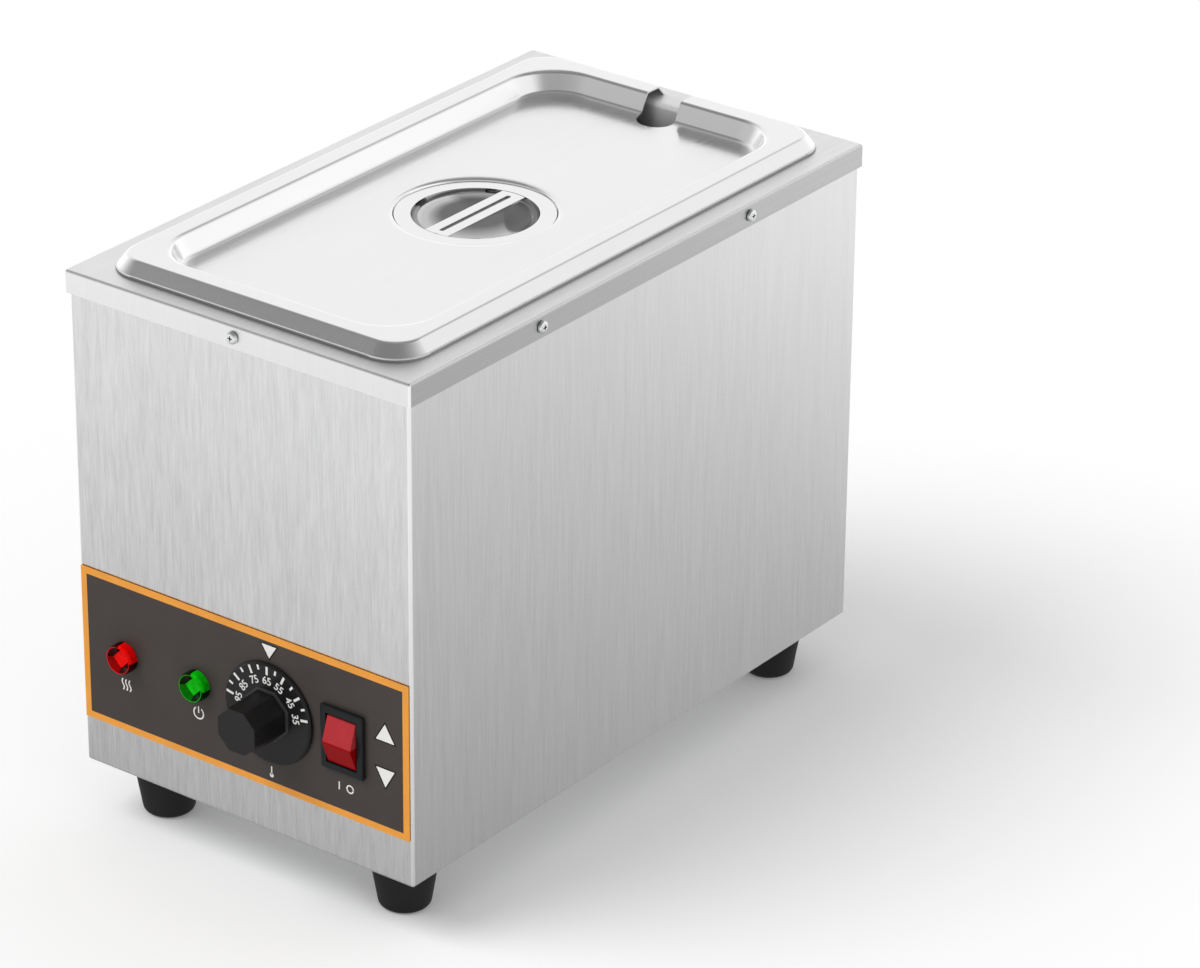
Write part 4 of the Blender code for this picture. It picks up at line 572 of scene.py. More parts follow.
def pressed_mesh(name, rings, floor=True):
    """Pressed sheet without thickness: a loft from its outer ring to its inner one."""
    shape = bmesh.new()
    loops = []
    for half_x, half_y, corner, height in rings:
        outline = rounded_rectangle(half_x, half_y, corner)
        loops.append([shape.verts.new((MIDDLE.x + x, MIDDLE.y + y, height)) for x, y in outline])
    skin(shape, loops)
    if floor:
        shape.faces.new(loops[-1])
    return mesh_from(shape, name, False)


def prism_into(shape, outline, low, high, place=None):
    """Adds a prism of a flat outline to a bmesh, along local Z."""
    below = [shape.verts.new((x, y, low)) for x, y in outline]
    above = [shape.verts.new((x, y, high)) for x, y in outline]
    shape.faces.new(below[::-1])
    shape.faces.new(above)
    skin(shape, [below, above])
    if place is not None:
        bmesh.ops.transform(shape, matrix=place, verts=below + above)


def box_into(shape, low, high):
    """Adds a box between two corners to a bmesh."""
    prism_into(shape, rectangle(low[0], low[1], high[0], high[1]), low[2], high[2])


def turned_into(shape, profile, sides):
    """Adds a turned shape to a bmesh. Its profile of (radius, height) starts and ends anywhere."""
    columns = []
    for side in range(sides):
        angle = 2 * math.pi * side / sides
        column = []
        for radius, height in profile:
            point = (radius * math.cos(angle), radius * math.sin(angle), height)
            column.append(shape.verts.new(point))
        columns.append(column)
    for column, following in zip(columns, columns[1:] + columns[:1]):
        for k in range(len(profile) - 1):
            corners = [column[k], column[k + 1]]
            if profile[k + 1][0] > 0:
                corners.append(following[k + 1])
            if profile[k][0] > 0:
                corners.append(following[k])
            if len(corners) > 2:
                shape.faces.new(corners)


def facing(direction, place):
    """A matrix that puts local Z along a level direction, local Y up, at a place."""
    out = Vector(direction).normalized()
    up = Vector((0, 0, 1))
    across = up.cross(out)
    turn = Matrix((across, up, out)).transposed()
    return Matrix.Translation(place) @ turn.to_4x4()


# Pieces


def remove_piece(name):
    """Removes an earlier piece of that name."""
    old = bpy.data.objects.get(name)
    if old is not None and "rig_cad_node" not in old:
        bpy.data.objects.remove(old, do_unlink=True)


def new_object(name, data):
    """An object for a mesh or other data, in place of an earlier one of that name."""
    remove_piece(name)
    obj = bpy.data.objects.new(name, data)
    bpy.context.scene.collection.objects.link(obj)
    return obj


def piece(name, shape):
    """An object for a bmesh, which is freed."""
    return new_object(name, mesh_from(shape, name))


def thicken(obj, thickness):
    """Gives an open surface its sheet thickness, behind its face."""
    modifier = obj.modifiers.new("sheet", "SOLIDIFY")
    modifier.thickness = thickness
    modifier.offset = -1
    modifier.use_even_offset = True


def soften(obj, width, steps=BEND_STEPS):
    """Rounds the sharp edges."""
    modifier = obj.modifiers.new("edges", "BEVEL")
    modifier.width = width
    modifier.segments = steps
    modifier.limit_method = "ANGLE"
    modifier.angle_limit = SMOOTH_ANGLE


def cut(obj, shape):
    """Cuts a bmesh's shape away. The cutter stays until the piece is settled."""
    modifier = obj.modifiers.new("holes", "BOOLEAN")
    modifier.operation = "DIFFERENCE"
    modifier.object = piece("cutter", shape)
    modifier.solver = "EXACT"


def settle(obj):
    """Applies the modifiers, and removes the cutters that they used."""
    cutters = [modifier.object for modifier in obj.modifiers if modifier.type == "BOOLEAN"]
    obj.data = evaluated_mesh(obj)
    obj.modifiers.clear()
    for cutter in cutters:
        bpy.data.objects.remove(cutter, do_unlink=True)


def evaluated_mesh(obj):
    """A mesh of an object as it looks with its modifiers."""
    bpy.context.view_layer.update()
    graph = bpy.context.evaluated_depsgraph_get()
    return bpy.data.meshes.new_from_object(obj.evaluated_get(graph))


def dress(obj, body, materials, nodes=()):
    """Shades a piece, gives it its finish and hangs it on its body in place of CAD nodes."""
    obj.data.materials.clear()
    for material in materials:
        obj.data.materials.append(material)
    obj.data.shade_smooth()
    obj.data.set_sharp_from_angle(angle=SMOOTH_ANGLE)
    normals = obj.modifiers.new("flat_faces", "WEIGHTED_NORMAL")
    normals.keep_sharp = True
    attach(obj, body)
    if nodes:
        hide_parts(*nodes)
    return obj


def mark(obj, index, test):
    """Gives one of a piece's other finishes to the faces whose centre and normal pass a test."""
    for polygon in obj.data.polygons:
        if test(polygon.center, polygon.normal):
            polygon.material_index = index


def finish_node(name, material):
    """Gives a CAD node a finish in its own material slots."""
    for slot in FRAME["nodes"][name].material_slots:
        slot.material = material


# Materials


def empty_material(name):
    """A material with only a Principled shader."""
    material = bpy.data.materials.get(name) or bpy.data.materials.new(name)
    material.use_nodes = True
    tree = material.node_tree
    tree.nodes.clear()
    output = tree.nodes.new("ShaderNodeOutputMaterial")
    shader = tree.nodes.new("ShaderNodeBsdfPrincipled")
    tree.links.new(shader.outputs["BSDF"], output.inputs["Surface"])
    return material, tree, shader


def noise(tree, stretch, detail, roughness=0.5):
    """Noise in the piece's own coordinates, with a scale for each axis."""
    coordinates = tree.nodes.new("ShaderNodeTexCoord")
    mapping = tree.nodes.new("ShaderNodeMapping")
    mapping.inputs["Scale"].default_value = stretch
    texture = tree.nodes.new("ShaderNodeTexNoise")
    texture.inputs["Scale"].default_value = 1
    texture.inputs["Detail"].default_value = detail
    texture.inputs["Roughness"].default_value = roughness
    tree.links.new(coordinates.outputs["Object"], mapping.inputs["Vector"])
    tree.links.new(mapping.outputs["Vector"], texture.inputs["Vector"])
    return texture.outputs["Fac"]


def ranged(tree, value, low, high, start=0.3, end=0.7):
    """A value brought from one range into another."""
    node = tree.nodes.new("ShaderNodeMapRange")
    node.inputs["From Min"].default_value = start
    node.inputs["From Max"].default_value = end
    node.inputs["To Min"].default_value = low
    node.inputs["To Max"].default_value = high
    tree.links.new(value, node.inputs["Value"])
    return node.outputs["Result"]


def added(tree, first, second, operation="ADD"):
    """Two values put together."""
    node = tree.nodes.new("ShaderNodeMath")
    node.operation = operation
    tree.links.new(first, node.inputs[0])
    tree.links.new(second, node.inputs[1])
    return node.outputs["Value"]


def blended(tree, value, first, second):
    """The first value where the factor is 0, and the second where it is 1."""
    node = tree.nodes.new("ShaderNodeMix")
    node.data_type = "FLOAT"
    tree.links.new(value, node.inputs["Factor"])
    tree.links.new(first, node.inputs["A"])
    tree.links.new(second, node.inputs["B"])
    return node.outputs["Result"]


def shaded(tree, shader, base, value, spread):
    """Makes the colour darker and lighter by a value between 0 and 1."""
    node = tree.nodes.new("ShaderNodeMix")
    node.data_type = "RGBA"
    dark = [channel * (1 - spread) for channel in base]
    light = [min(channel * (1 + spread), 1) for channel in base]
    node.inputs["A"].default_value = (*dark, 1)
    node.inputs["B"].default_value = (*light, 1)
    tree.links.new(value, node.inputs["Factor"])
    tree.links.new(node.outputs["Result"], shader.inputs["Base Color"])


def bumped(tree, shader, height, strength, distance):
    """Gives the surface a fine relief."""
    node = tree.nodes.new("ShaderNodeBump")
    node.inputs["Strength"].default_value = strength
    node.inputs["Distance"].default_value = distance
    tree.links.new(height, node.inputs["Height"])
    tree.links.new(node.outputs["Normal"], shader.inputs["Normal"])


def around(tree, value, middle, spread):
    """A value brought into a range about a middle."""
    return ranged(tree, value, middle - spread, middle + spread)


def tinted(base, share):
    """A darker or brighter colour, no brighter than white."""
    return [min(channel * share, 1) for channel in base]


def brushed(name, base):
    """A brushed metal of the table in a colour, with streaks along its grain."""
    roughness, fine, broad, streak, relief, metal = BRUSHED[name]
    material, tree, shader = empty_material(name)
    shader.inputs["Metallic"].default_value = metal
    fine_streaks = noise(tree, fine, STREAK_DETAIL)
    broad_streaks = around(tree, noise(tree, broad, STREAK_DETAIL), 0, BROAD_STREAKS)
    streaks = added(tree, fine_streaks, broad_streaks)
    shaded(tree, shader, base, ranged(tree, streaks, *STREAK_RANGE), streak)
    handled = around(tree, noise(tree, HANDLED_SCALE, HANDLED_DETAIL), 0, HANDLED_SHEEN)
    grain = around(tree, fine_streaks, roughness, GRAIN_SHEEN)
    tree.links.new(added(tree, grain, handled), shader.inputs["Roughness"])
    bumped(tree, shader, fine_streaks, relief, STREAK_RELIEF)
    return material


def moulded(name, base):
    """A moulded plastic or rubber of the table in a colour, with an uneven sheen."""
    roughness, grain, relief, spread, specular = MOULDED[name]
    material, tree, shader = empty_material(name)
    shader.inputs["Specular IOR Level"].default_value = specular
    texture = noise(tree, (grain, grain, grain), TEXTURE_DETAIL, TEXTURE_ROUGHNESS)
    cloud = noise(tree, CLOUD_SCALE, CLOUD_DETAIL)
    shaded(tree, shader, base, ranged(tree, cloud, 0, 1), spread)
    sheen = around(tree, cloud, roughness, GRAIN_SHEEN)
    handled = around(tree, texture, 0, HANDLED_SHEEN)
    tree.links.new(added(tree, sheen, handled), shader.inputs["Roughness"])
    bumped(tree, shader, texture, relief, MOULDED_RELIEF)
    return material


def lens_plastic(name, base):
    """Deeply coloured plastic, with faint moulding waves."""
    material, tree, shader = empty_material(name)
    shader.inputs["IOR"].default_value = LENS_INDEX
    shader.inputs["Specular IOR Level"].default_value = LENS_SPECULAR
    waves = noise(tree, LENS_WAVES, LENS_DETAIL)
    shaded(tree, shader, base, ranged(tree, waves, 0, 1), LENS_SPREAD)
    tree.links.new(ranged(tree, waves, *LENS_ROUGHNESS), shader.inputs["Roughness"])
    bumped(tree, shader, waves, *LENS_RELIEF)
    return material


# Cabinet


def node_middle(node):
    """The middle of a CAD node's box."""
    low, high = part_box(node)
    return (low + high) / 2


def control_place(node, face=LABEL_FACE):
    """Where a control's axis comes out of a face of the front, with local Z along it."""
    return facing(FRONT, (node_middle(node).x, face, CONTROL_HEIGHT))


def control_holes(shape, face, reach, screw_hole):
    """Adds the holes for the controls to a cutter, on both sides of a face."""
    holes = (
        ("red_lamp_body", LAMP_HOLE),
        ("green_lamp_body", LAMP_HOLE),
        ("thermostat_shaft", SHAFT_HOLE),
        ("thermostat_screw_left", screw_hole),
        ("thermostat_screw_right", screw_hole),
    )
    for node, radius in holes:
        place = control_place(node, face)
        prism_into(shape, circle(radius, SMALL_SIDES), -reach, reach, place)
    middle = Vector((node_middle("switch_housing").x, face, CONTROL_HEIGHT))
    half = Vector((SWITCH_HOLE_X, reach, SWITCH_HOLE_Z))
    box_into(shape, middle - half, middle + half)


def screw_holes(shape):
    """Adds the holes for the deck screws to a cutter."""
    for name, direction in SCREW_DIRECTIONS.items():
        place = facing(direction, node_middle(f"deck_screw_{name}"))
        prism_into(shape, circle(DECK_SCREW_HOLE, SMALL_SIDES), -SCREW_REACH, SCREW_REACH, place)


def wall_holes():
    """The holes in the housing's walls and bottom flange, as one shape."""
    shape = bmesh.new()
    control_holes(shape, SHELL_LOW.y, WALL_REACH, WALL_SCREW_HOLE)
    gland = node_middle("cord_gland_locknut")
    place = facing(REAR, (gland.x, SHELL_HIGH.y, gland.z))
    prism_into(shape, circle(GLAND_HOLE, SMALL_SIDES), -WALL_REACH, WALL_REACH, place)
    for name in FOOT_NAMES:
        spot = node_middle(f"foot_screw_{name}")
        place = Matrix.Translation((spot.x, spot.y, SHELL_LOW.z))
        prism_into(shape, circle(FOOT_SCREW_HOLE, SMALL_SIDES), -CUT_OVERRUN, CUT_OVERRUN, place)
    screw_holes(shape)
    return shape


def folded_box(name, low, high, open_side, flange=0):
    """The outside of a box open at its top (1) or bottom (-1), with a flange opposite if asked."""
    shape = bmesh.new()
    box_into(shape, low, high)
    bmesh.ops.recalc_face_normals(shape, faces=shape.faces)
    opened = [face for face in shape.faces if face.normal.z * open_side > MOSTLY]
    closed = [face for face in shape.faces if face.normal.z * open_side < -MOSTLY]
    bmesh.ops.delete(shape, geom=opened, context="FACES_ONLY")
    if flange:
        bmesh.ops.inset_region(shape, faces=closed, thickness=flange)
        bmesh.ops.delete(shape, geom=closed, context="FACES_ONLY")
    return new_object(name, mesh_from(shape, name, False))


def mark_walls(obj):
    """Gives a piece's sides its second finish, which on the deck is a darker copy for painted
    shade, and its upright folds its third one, a brighter copy for a painted highlight.
    """
    mark(obj, 1, lambda centre, normal: abs(normal.x) > SIDE_SHARE)
    mark(obj, 2, lambda centre, normal: min(abs(normal.x), abs(normal.y)) > FOLD_SHARE)


def build_housing(sizes, colours):
    """Front, sides and back of one sheet, with a return flange at the bottom."""
    housing = folded_box("housing_walls", SHELL_LOW, SHELL_HIGH, 1, sizes.wall_flange)
    soften(housing, sizes.wall_fold)
    thicken(housing, sizes.wall_sheet)
    cut(housing, wall_holes())
    settle(housing)
    steels = [
        brushed("wall_steel", colours.wall_steel),
        brushed("side_steel", colours.wall_steel),
        # A painted highlight: a brighter copy of the wall steel on the upright folds
        brushed("wall_fold_highlight_steel", tinted(colours.wall_steel, FOLD_HIGHLIGHT_TINT)),
    ]
    dress(housing, "casing", steels, ["housing_shell"])
    mark_walls(housing)


def opening_size(sizes):
    """Half the width and half the length of the opening for the pan."""
    gap = sizes.pan_flange - sizes.pan_sheet - OPENING_GAP
    return PAN_HIGH.x - gap, (PAN_HIGH.y - PAN_LOW.y) / 2 - gap


def build_deck(sizes, colours):
    """The cover with its downturned skirt and the opening for the pan."""
    deck = folded_box("deck_cover", DECK_LOW, DECK_HIGH, -1)
    soften(deck, sizes.deck_fold)
    thicken(deck, sizes.deck_sheet)
    shape = bmesh.new()
    outline = rounded_rectangle(*opening_size(sizes), sizes.opening_corner)
    middle = Matrix.Translation((MIDDLE.x, MIDDLE.y, DECK_HIGH.z))
    prism_into(shape, outline, -DECK_REACH, DECK_REACH, middle)
    screw_holes(shape)
    cut(deck, shape)
    settle(deck)
    steels = [
        brushed("deck_steel", colours.deck_steel),
        # Painted shade: a darker copy of the deck steel on the deck's left and right skirts
        brushed("side_skirt_shade_steel", tinted(colours.deck_steel, SIDE_SKIRT_SHADE_TINT)),
        # A painted highlight: a brighter copy of the deck steel on the upright folds
        brushed("deck_fold_highlight_steel", tinted(colours.deck_steel, FOLD_HIGHLIGHT_TINT)),
    ]
    dress(deck, "casing", steels, ["top_deck"])
    mark_walls(deck)


def foot_profile(sizes, top):
    """The profile of a foot: tapered, with a pocket for its screw from below."""
    slope = (sizes.foot_top - sizes.foot_bottom) / top
    return [
        (FOOT_SCREW_HOLE, top),
        (sizes.foot_top - FOOT_EDGE, top),
        (sizes.foot_top - slope * FOOT_EDGE, top - FOOT_EDGE),
        (sizes.foot_bottom + slope * FOOT_EDGE, FOOT_EDGE),
        (sizes.foot_bottom - FOOT_EDGE, 0),
        (FOOT_POCKET, 0),
        (FOOT_POCKET, FOOT_POCKET_DEPTH),
        (FOOT_SCREW_HOLE, FOOT_POCKET_DEPTH),
        (FOOT_SCREW_HOLE, top),
    ]


def build_feet(sizes, colours):
    """Four tapered rubber feet."""
    rubber = moulded("foot_rubber", colours.rubber)
    for name in FOOT_NAMES:
        low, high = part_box(f"foot_{name}")
        middle = (low + high) / 2
        profile = foot_profile(sizes, high.z - low.z)
        shape = bmesh.new()
        turned_into(
            shape, rounded_profile(profile, FOOT_ROUNDING, SMALL_BEND_STEPS), MOULDED_SIDES
        )
        place = Matrix.Translation((middle.x, middle.y, low.z))
        bmesh.ops.transform(shape, matrix=place, verts=shape.verts)
        foot = new_object(f"rubber_foot_{name}", mesh_from(shape, "rubber_foot"))
        dress(foot, "casing", [rubber], [f"foot_{name}"])


def cross_outline(reach, width):
    """Points of a cross with four like arms, counter-clockwise."""
    half = width / 2
    points = []
    for turn in range(4):
        spin = Matrix.Rotation(math.pi / 2 * turn, 2)
        points += [spin @ Vector(point) for point in ((reach, -half), (reach, half), (half, half))]
    return points


def screw_mesh(name, radius, place):
    """A pan-head screw whose head faces local Z, with its top at a place."""
    shank = radius * SCREW_SHANK_SHARE
    profile = [(0, 0)]
    for step in range(SCREW_STEPS + 1):
        angle = math.pi / 2 * step / SCREW_STEPS
        out = shank + (radius - shank) * math.sin(angle)
        profile.append((out, -SCREW_DOME * (1 - math.cos(angle))))
    profile += [(radius, -SCREW_HEAD), (shank, -SCREW_HEAD), (shank, -SCREW_LENGTH)]
    profile.append((0, -SCREW_LENGTH))
    shape = bmesh.new()
    turned_into(shape, profile, SMALL_SIDES)
    bmesh.ops.transform(shape, matrix=place, verts=shape.verts)
    return mesh_from(shape, name)


def in_recess(spot, share, reach):
    """Whether a face that faces out by a share is a wall or the floor of a screw's cross."""
    near = Vector(spot[:2]).length < reach and spot.z > -RECESS_DEPTH * (1 + RECESS_SLACK)
    return near and (share < MOSTLY or spot.z < -RECESS_DEPTH * (1 - RECESS_SLACK))


def build_deck_screws(colours):
    """Pan-head screws with a cross recess round the deck's skirt."""
    zinc = brushed("zinc_plate", colours.zinc)
    # Painted shade: near-black finish for the walls and floor of each cross recess
    dark = moulded("screw_recess_shade", colours.rubber)
    for name, direction in SCREW_DIRECTIONS.items():
        low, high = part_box(f"deck_screw_{name}")
        out = Vector(direction)
        half = (high - low).dot(Vector([abs(part) for part in out])) / 2
        radius = (high.z - low.z) / 2
        reach = radius * RECESS_SHARE
        place = facing(out, (low + high) / 2 + out * half)
        screw = new_object(f"cover_screw_{name}", screw_mesh("cover_screw", radius, place))
        shape = bmesh.new()
        prism_into(shape, cross_outline(reach, RECESS_WIDTH), -RECESS_DEPTH, CUT_OVERRUN, place)
        cut(screw, shape)
        settle(screw)
        dress(screw, "casing", [zinc, dark], [f"deck_screw_{name}"])
        # Painted shade in the cross recess
        back = place.inverted()
        mark(screw, 1, lambda centre, normal: in_recess(back @ centre, normal.dot(out), reach))


# Tank, pan and lid


def build_tank(sizes, colours):
    """The water tank, hung under the deck by its flange."""
    depth = TANK_HIGH.z - TANK_LOW.z - sizes.pan_sheet
    mouth = ring(*opening_size(sizes), sizes.opening_corner, TANK_HIGH.z)
    rings = [
        inset(mouth, -TANK_FLANGE),
        mouth,
        inset(mouth, 0, depth),
        inset(mouth, TANK_FLOOR_RUN, depth),
    ]
    tank = new_object("tank_pressing", pressed_mesh("tank", bent(rings, TANK_BENDS)))
    thicken(tank, sizes.pan_sheet)
    shape = bmesh.new()
    for side in ("left", "right"):
        spot = node_middle(f"element_bushing_{side}")
        place = Matrix.Translation((spot.x, spot.y, TANK_LOW.z))
        prism_into(shape, circle(BUSHING_HOLE, SMALL_SIDES), -CUT_OVERRUN, 2 * CUT_OVERRUN, place)
    cut(tank, shape)
    settle(tank)
    steel = brushed("tank_steel", colours.deck_steel)
    dress(tank, "casing", [steel], ["water_tank"])


def outside_pan(centre, normal):
    """Whether a face lies on the pan's outside or its underside."""
    outward = (centre - MIDDLE).xy.dot(normal.xy) > 0
    return normal.z < -MOSTLY or (outward and abs(normal.z) <= MOSTLY)


def on_pan_edge(centre, normal, flange):
    """Whether a face lies on the turned-down edge of the pan's flange."""
    gap_x = PAN_HIGH.x - abs(centre.x)
    gap_y = PAN_HIGH.y - MIDDLE.y - abs(centre.y - MIDDLE.y)
    near = centre.z > DECK_HIGH.z and min(gap_x, gap_y) < flange / 2
    return near and abs(normal.z) <= MOSTLY


def build_pan(sizes, colours):
    """The food pan, resting on the deck by the downturned edge of its flange."""
    half_x = PAN_HIGH.x
    half_y = (PAN_HIGH.y - PAN_LOW.y) / 2
    depth = PAN_HIGH.z - PAN_LOW.z - sizes.pan_sheet
    turned = PAN_HIGH.z - DECK_HIGH.z - REST_GAP
    edge = ring(half_x, half_y, sizes.pan_rim_corner, PAN_HIGH.z - turned)
    wall_x = half_x - sizes.pan_flange
    wall_y = half_y - sizes.pan_flange
    taper = sizes.pan_taper
    foot = ring(wall_x - taper, wall_y - taper, PAN_FLOOR_CORNER, PAN_HIGH.z - depth)
    rings = [
        edge,
        inset(edge, 0, -turned),
        ring(wall_x, wall_y, sizes.pan_corner, PAN_HIGH.z),
        foot,
        inset(foot, PAN_FLOOR_RUN),
    ]
    pan = new_object("pan_pressing", pressed_mesh("pan", bent(rings, PAN_BENDS)))
    thicken(pan, sizes.pan_sheet)
    settle(pan)
    steels = [
        brushed("pan_steel", colours.lid_steel),
        brushed("pan_edge_shade_steel", tinted(colours.lid_steel, RIM_SHADE_TINT)),
        brushed("pan_outside_steel", colours.lid_steel),
    ]
    dress(pan, "pan", steels, ["food_pan"])
    mark(pan, 2, outside_pan)
    # Painted shade: the turned-down edge under the lid's lip gets a darker copy of the pan steel
    mark(pan, 1, lambda centre, normal: on_pan_edge(centre, normal, sizes.pan_flange))


def build_lid(sizes, colours):
    """The lid: sloped lip, flat rim, recess, round seat for the handle, and ladle notch."""
    half_y = (LID_HIGH.y - LID_LOW.y) / 2
    lip_height = LID_HIGH.z - PAN_HIGH.z - REST_GAP
    lip = ring(LID_HIGH.x, half_y, sizes.lid_corner, LID_HIGH.z - lip_height)
    rim = inset(lip, sizes.lip_run, -lip_height)
    recess = ring(rim[0] - sizes.lid_rim, rim[1] - sizes.lid_rim, sizes.recess_corner, LID_HIGH.z)
    panel = LID_HIGH.z - sizes.recess_depth
    seat = panel - sizes.seat_drop
    rings = [
        lip,
        rim,
        recess,
        inset(recess, sizes.recess_run, sizes.recess_depth),
        round_ring(sizes.seat_radius, panel),
        round_ring(sizes.seat_radius - SEAT_RUN, seat),
        round_ring(SEAT_HOLE, seat),
    ]
    lid = new_object("lid_pressing", pressed_mesh("lid", bent(rings, LID_BENDS), False))
    thicken(lid, sizes.pan_sheet)
    shape = bmesh.new()
    prism_into(shape, notch_outline(sizes), LID_LOW.z - NOTCH_CUT, LID_HIGH.z + NOTCH_CUT)
    cut(lid, shape)
    settle(lid)
    dress(lid, "pan_lid", [brushed("lid_steel", colours.lid_steel)], ["lid"])


def build_cup(sizes, colours):
    """The dished cup in the lid's seat."""
    top = CUP_HIGH.z
    rings = [round_ring(CUP_HIGH.x, top), round_ring(sizes.cup_radius, top)]
    for step in range(CUP_STEPS):
        angle = math.pi / 2 * step / CUP_STEPS
        depth = CUP_LIP + (sizes.cup_depth - CUP_LIP) * math.sin(angle)
        rings.append(round_ring(sizes.cup_radius * math.cos(angle), top - depth))
    cup = new_object("handle_cup", pressed_mesh("cup", rings))
    thicken(cup, sizes.pan_sheet)
    soften(cup, CUP_ROUNDING, SMALL_BEND_STEPS)
    settle(cup)
    steels = [
        brushed("handle_steel", colours.lid_steel),
        brushed("bowl_shade_steel", tinted(colours.lid_steel, BOWL_SHADE_TINT)),
    ]
    dress(cup, "pan_lid", steels, ["lid_handle_cup"])
    # Painted shade: the faces below the cup's lip get a darker copy of the handle steel
    mark(cup, 1, lambda centre, normal: centre.z < top - CUP_LIP)


def bar_outline(half_width, half_length):
    """Points of a straight bar whose ends are arcs about its middle."""
    points = []
    for sign in (1, -1):
        for step in range(-BAR_STEPS, BAR_STEPS + 1):
            x = -sign * half_width * step / BAR_STEPS
            y = sign * math.sqrt(max(half_length * half_length - x * x, 0))
            points.append((x, y))
    return points


def in_groove(centre, width):
    """Whether a face lies on the walls or the floor of the bar's groove."""
    across = abs(centre.x - MIDDLE.x)
    below = abs(centre.z - BAR_HIGH.z + GROOVE_DEPTH / 2)
    return across < width * GROOVE_LIMIT and below < GROOVE_DEPTH * GROOVE_LIMIT


def build_bar(sizes, colours):
    """The flat bar across the cup's mouth, with its stiffening groove."""
    half_length = (BAR_HIGH.y - BAR_LOW.y) / 2
    place = Matrix.Translation((MIDDLE.x, MIDDLE.y, 0))
    shape = bmesh.new()
    prism_into(shape, bar_outline(BAR_HIGH.x, half_length), BAR_LOW.z, BAR_HIGH.z, place)
    bar = piece("handle_bar", shape)
    half = sizes.groove_width / 2
    reach = half_length - GROOVE_END
    slot = rounded_rectangle(half, reach, half - GROOVE_FLAT, GROOVE_STEPS)
    groove = bmesh.new()
    prism_into(groove, slot, BAR_HIGH.z - GROOVE_DEPTH, BAR_HIGH.z + CUT_OVERRUN, place)
    cut(bar, groove)
    soften(bar, BAR_ROUNDING, FINE_BEND_STEPS)
    settle(bar)
    steels = [
        brushed("handle_steel", colours.lid_steel),
        brushed("groove_shade_steel", tinted(colours.lid_steel, GROOVE_SHADE_TINT)),
    ]
    dress(bar, "pan_lid", steels, ["lid_handle_bar"])
    # Painted shade: the groove's walls and floor get a darker copy of the handle steel
    mark(bar, 1, lambda centre, normal: in_groove(centre, sizes.groove_width))


# Controls


def at_label_edge(point):
    """Whether a point lies on the outer edge of the label."""
    gaps = (point.x - LABEL_LOW.x, LABEL_HIGH.x - point.x, point.z - LABEL_LOW.z)
    return min(*gaps, LABEL_HIGH.z - point.z) < WELD_DISTANCE


def label_print(name, outlines, material, lift=PRINT_LIFT):
    """Flat print on the label from outlines of (x, height)."""
    place = facing(FRONT, (0, LABEL_FACE, 0))
    shape = bmesh.new()
    for outline in outlines:
        prism_into(shape, outline, 0, lift, place)
    dress(piece(name, shape), "casing", [material])


def grown(outline, distance):
    """A triangle made larger by the same distance on all its sides."""
    corners = [Vector(point) for point in outline]
    middle = (corners[0] + corners[1] + corners[2]) / 3
    sides = zip(corners, corners[1:] + corners[:1])
    lines = [abs((b - a).cross(middle - a)) / (b - a).length for a, b in sides]
    share = 1 + distance * len(lines) / sum(lines)
    return [middle + (corner - middle) * share for corner in corners]


def ribbon(points, width):
    """The outline of a line of a width through flat points."""
    points = [Vector(point) for point in points]
    left = []
    right = []
    for k, point in enumerate(points):
        ahead = (points[min(k + 1, len(points) - 1)] - points[max(k - 1, 0)]).normalized()
        across = Vector((-ahead.y, ahead.x)) * width / 2
        left.append(point + across)
        right.append(point - across)
    return right + left[::-1]


def arc(x, z, radius, ends):
    """The outline of a line round a place, between two angles in turns."""
    start, end = ends
    points = []
    for step in range(ARC_STEPS + 1):
        angle = 2 * math.pi * (start + (end - start) * step / ARC_STEPS)
        points.append((x + radius * math.cos(angle), z + radius * math.sin(angle)))
    return ribbon(points, SYMBOL_LINE)


def upright(x, low, high):
    """The outline of an upright line."""
    return ribbon([(x, low), (x, high)], SYMBOL_LINE)


def heat_waves(x, z):
    """The outlines of three upright waves about a place."""
    size = SYMBOL_SIZE
    waves = []
    for offset in (-1, 0, 1):
        points = []
        for step in range(WAVE_STEPS + 1):
            share = step / WAVE_STEPS
            sway = math.sin(2 * math.pi * share) * size * WAVE_SWAY
            across = x + offset * size * WAVE_SPACING + sway
            points.append((across, z + size * (share - 1 / 2)))
        waves.append(ribbon(points, SYMBOL_LINE))
    return waves


def label_symbols():
    """Plain symbols under the controls: heat, power, a thermometer, and on and off."""
    size = SYMBOL_SIZE
    lamp_z = CONTROL_HEIGHT - SYMBOL_DROP
    power_x = node_middle("green_lamp_lens").x
    dial_x = node_middle("thermostat_knob").x
    dial_z = LABEL_LOW.z + SYMBOL_DIAL_RISE
    bulb_z = dial_z - size * BULB_DROP
    bulb = circle(size * BULB_RADIUS, SMALL_SIDES)
    switch_x = node_middle("switch_housing").x
    switch_z = BEZEL_LOW.z - SYMBOL_SWITCH_DROP
    reach = size * ON_REACH
    return [
        *heat_waves(node_middle("red_lamp_lens").x, lamp_z),
        arc(power_x, lamp_z, size / 2, POWER_ARC),
        upright(power_x, lamp_z, lamp_z + size * POWER_STROKE),
        [(dial_x + x, bulb_z + z) for x, z in bulb],
        upright(dial_x, dial_z - size * STEM_DROP, dial_z + size / 2),
        upright(switch_x - size * ON_OFFSET, switch_z - reach, switch_z + reach),
        arc(switch_x + size * OFF_OFFSET, switch_z, size * OFF_RADIUS, OFF_ARC),
    ]


def triangles():
    """The outlines of the triangles: one over the dial, and two beside the switch."""
    dial_x = node_middle("thermostat_knob").x
    places = ((dial_x, DIAL_MARK), (0, UP_MARK), (0, DOWN_MARK))
    return [[(middle + x, SHELL_LOW.z + z) for x, z in points] for middle, points in places]


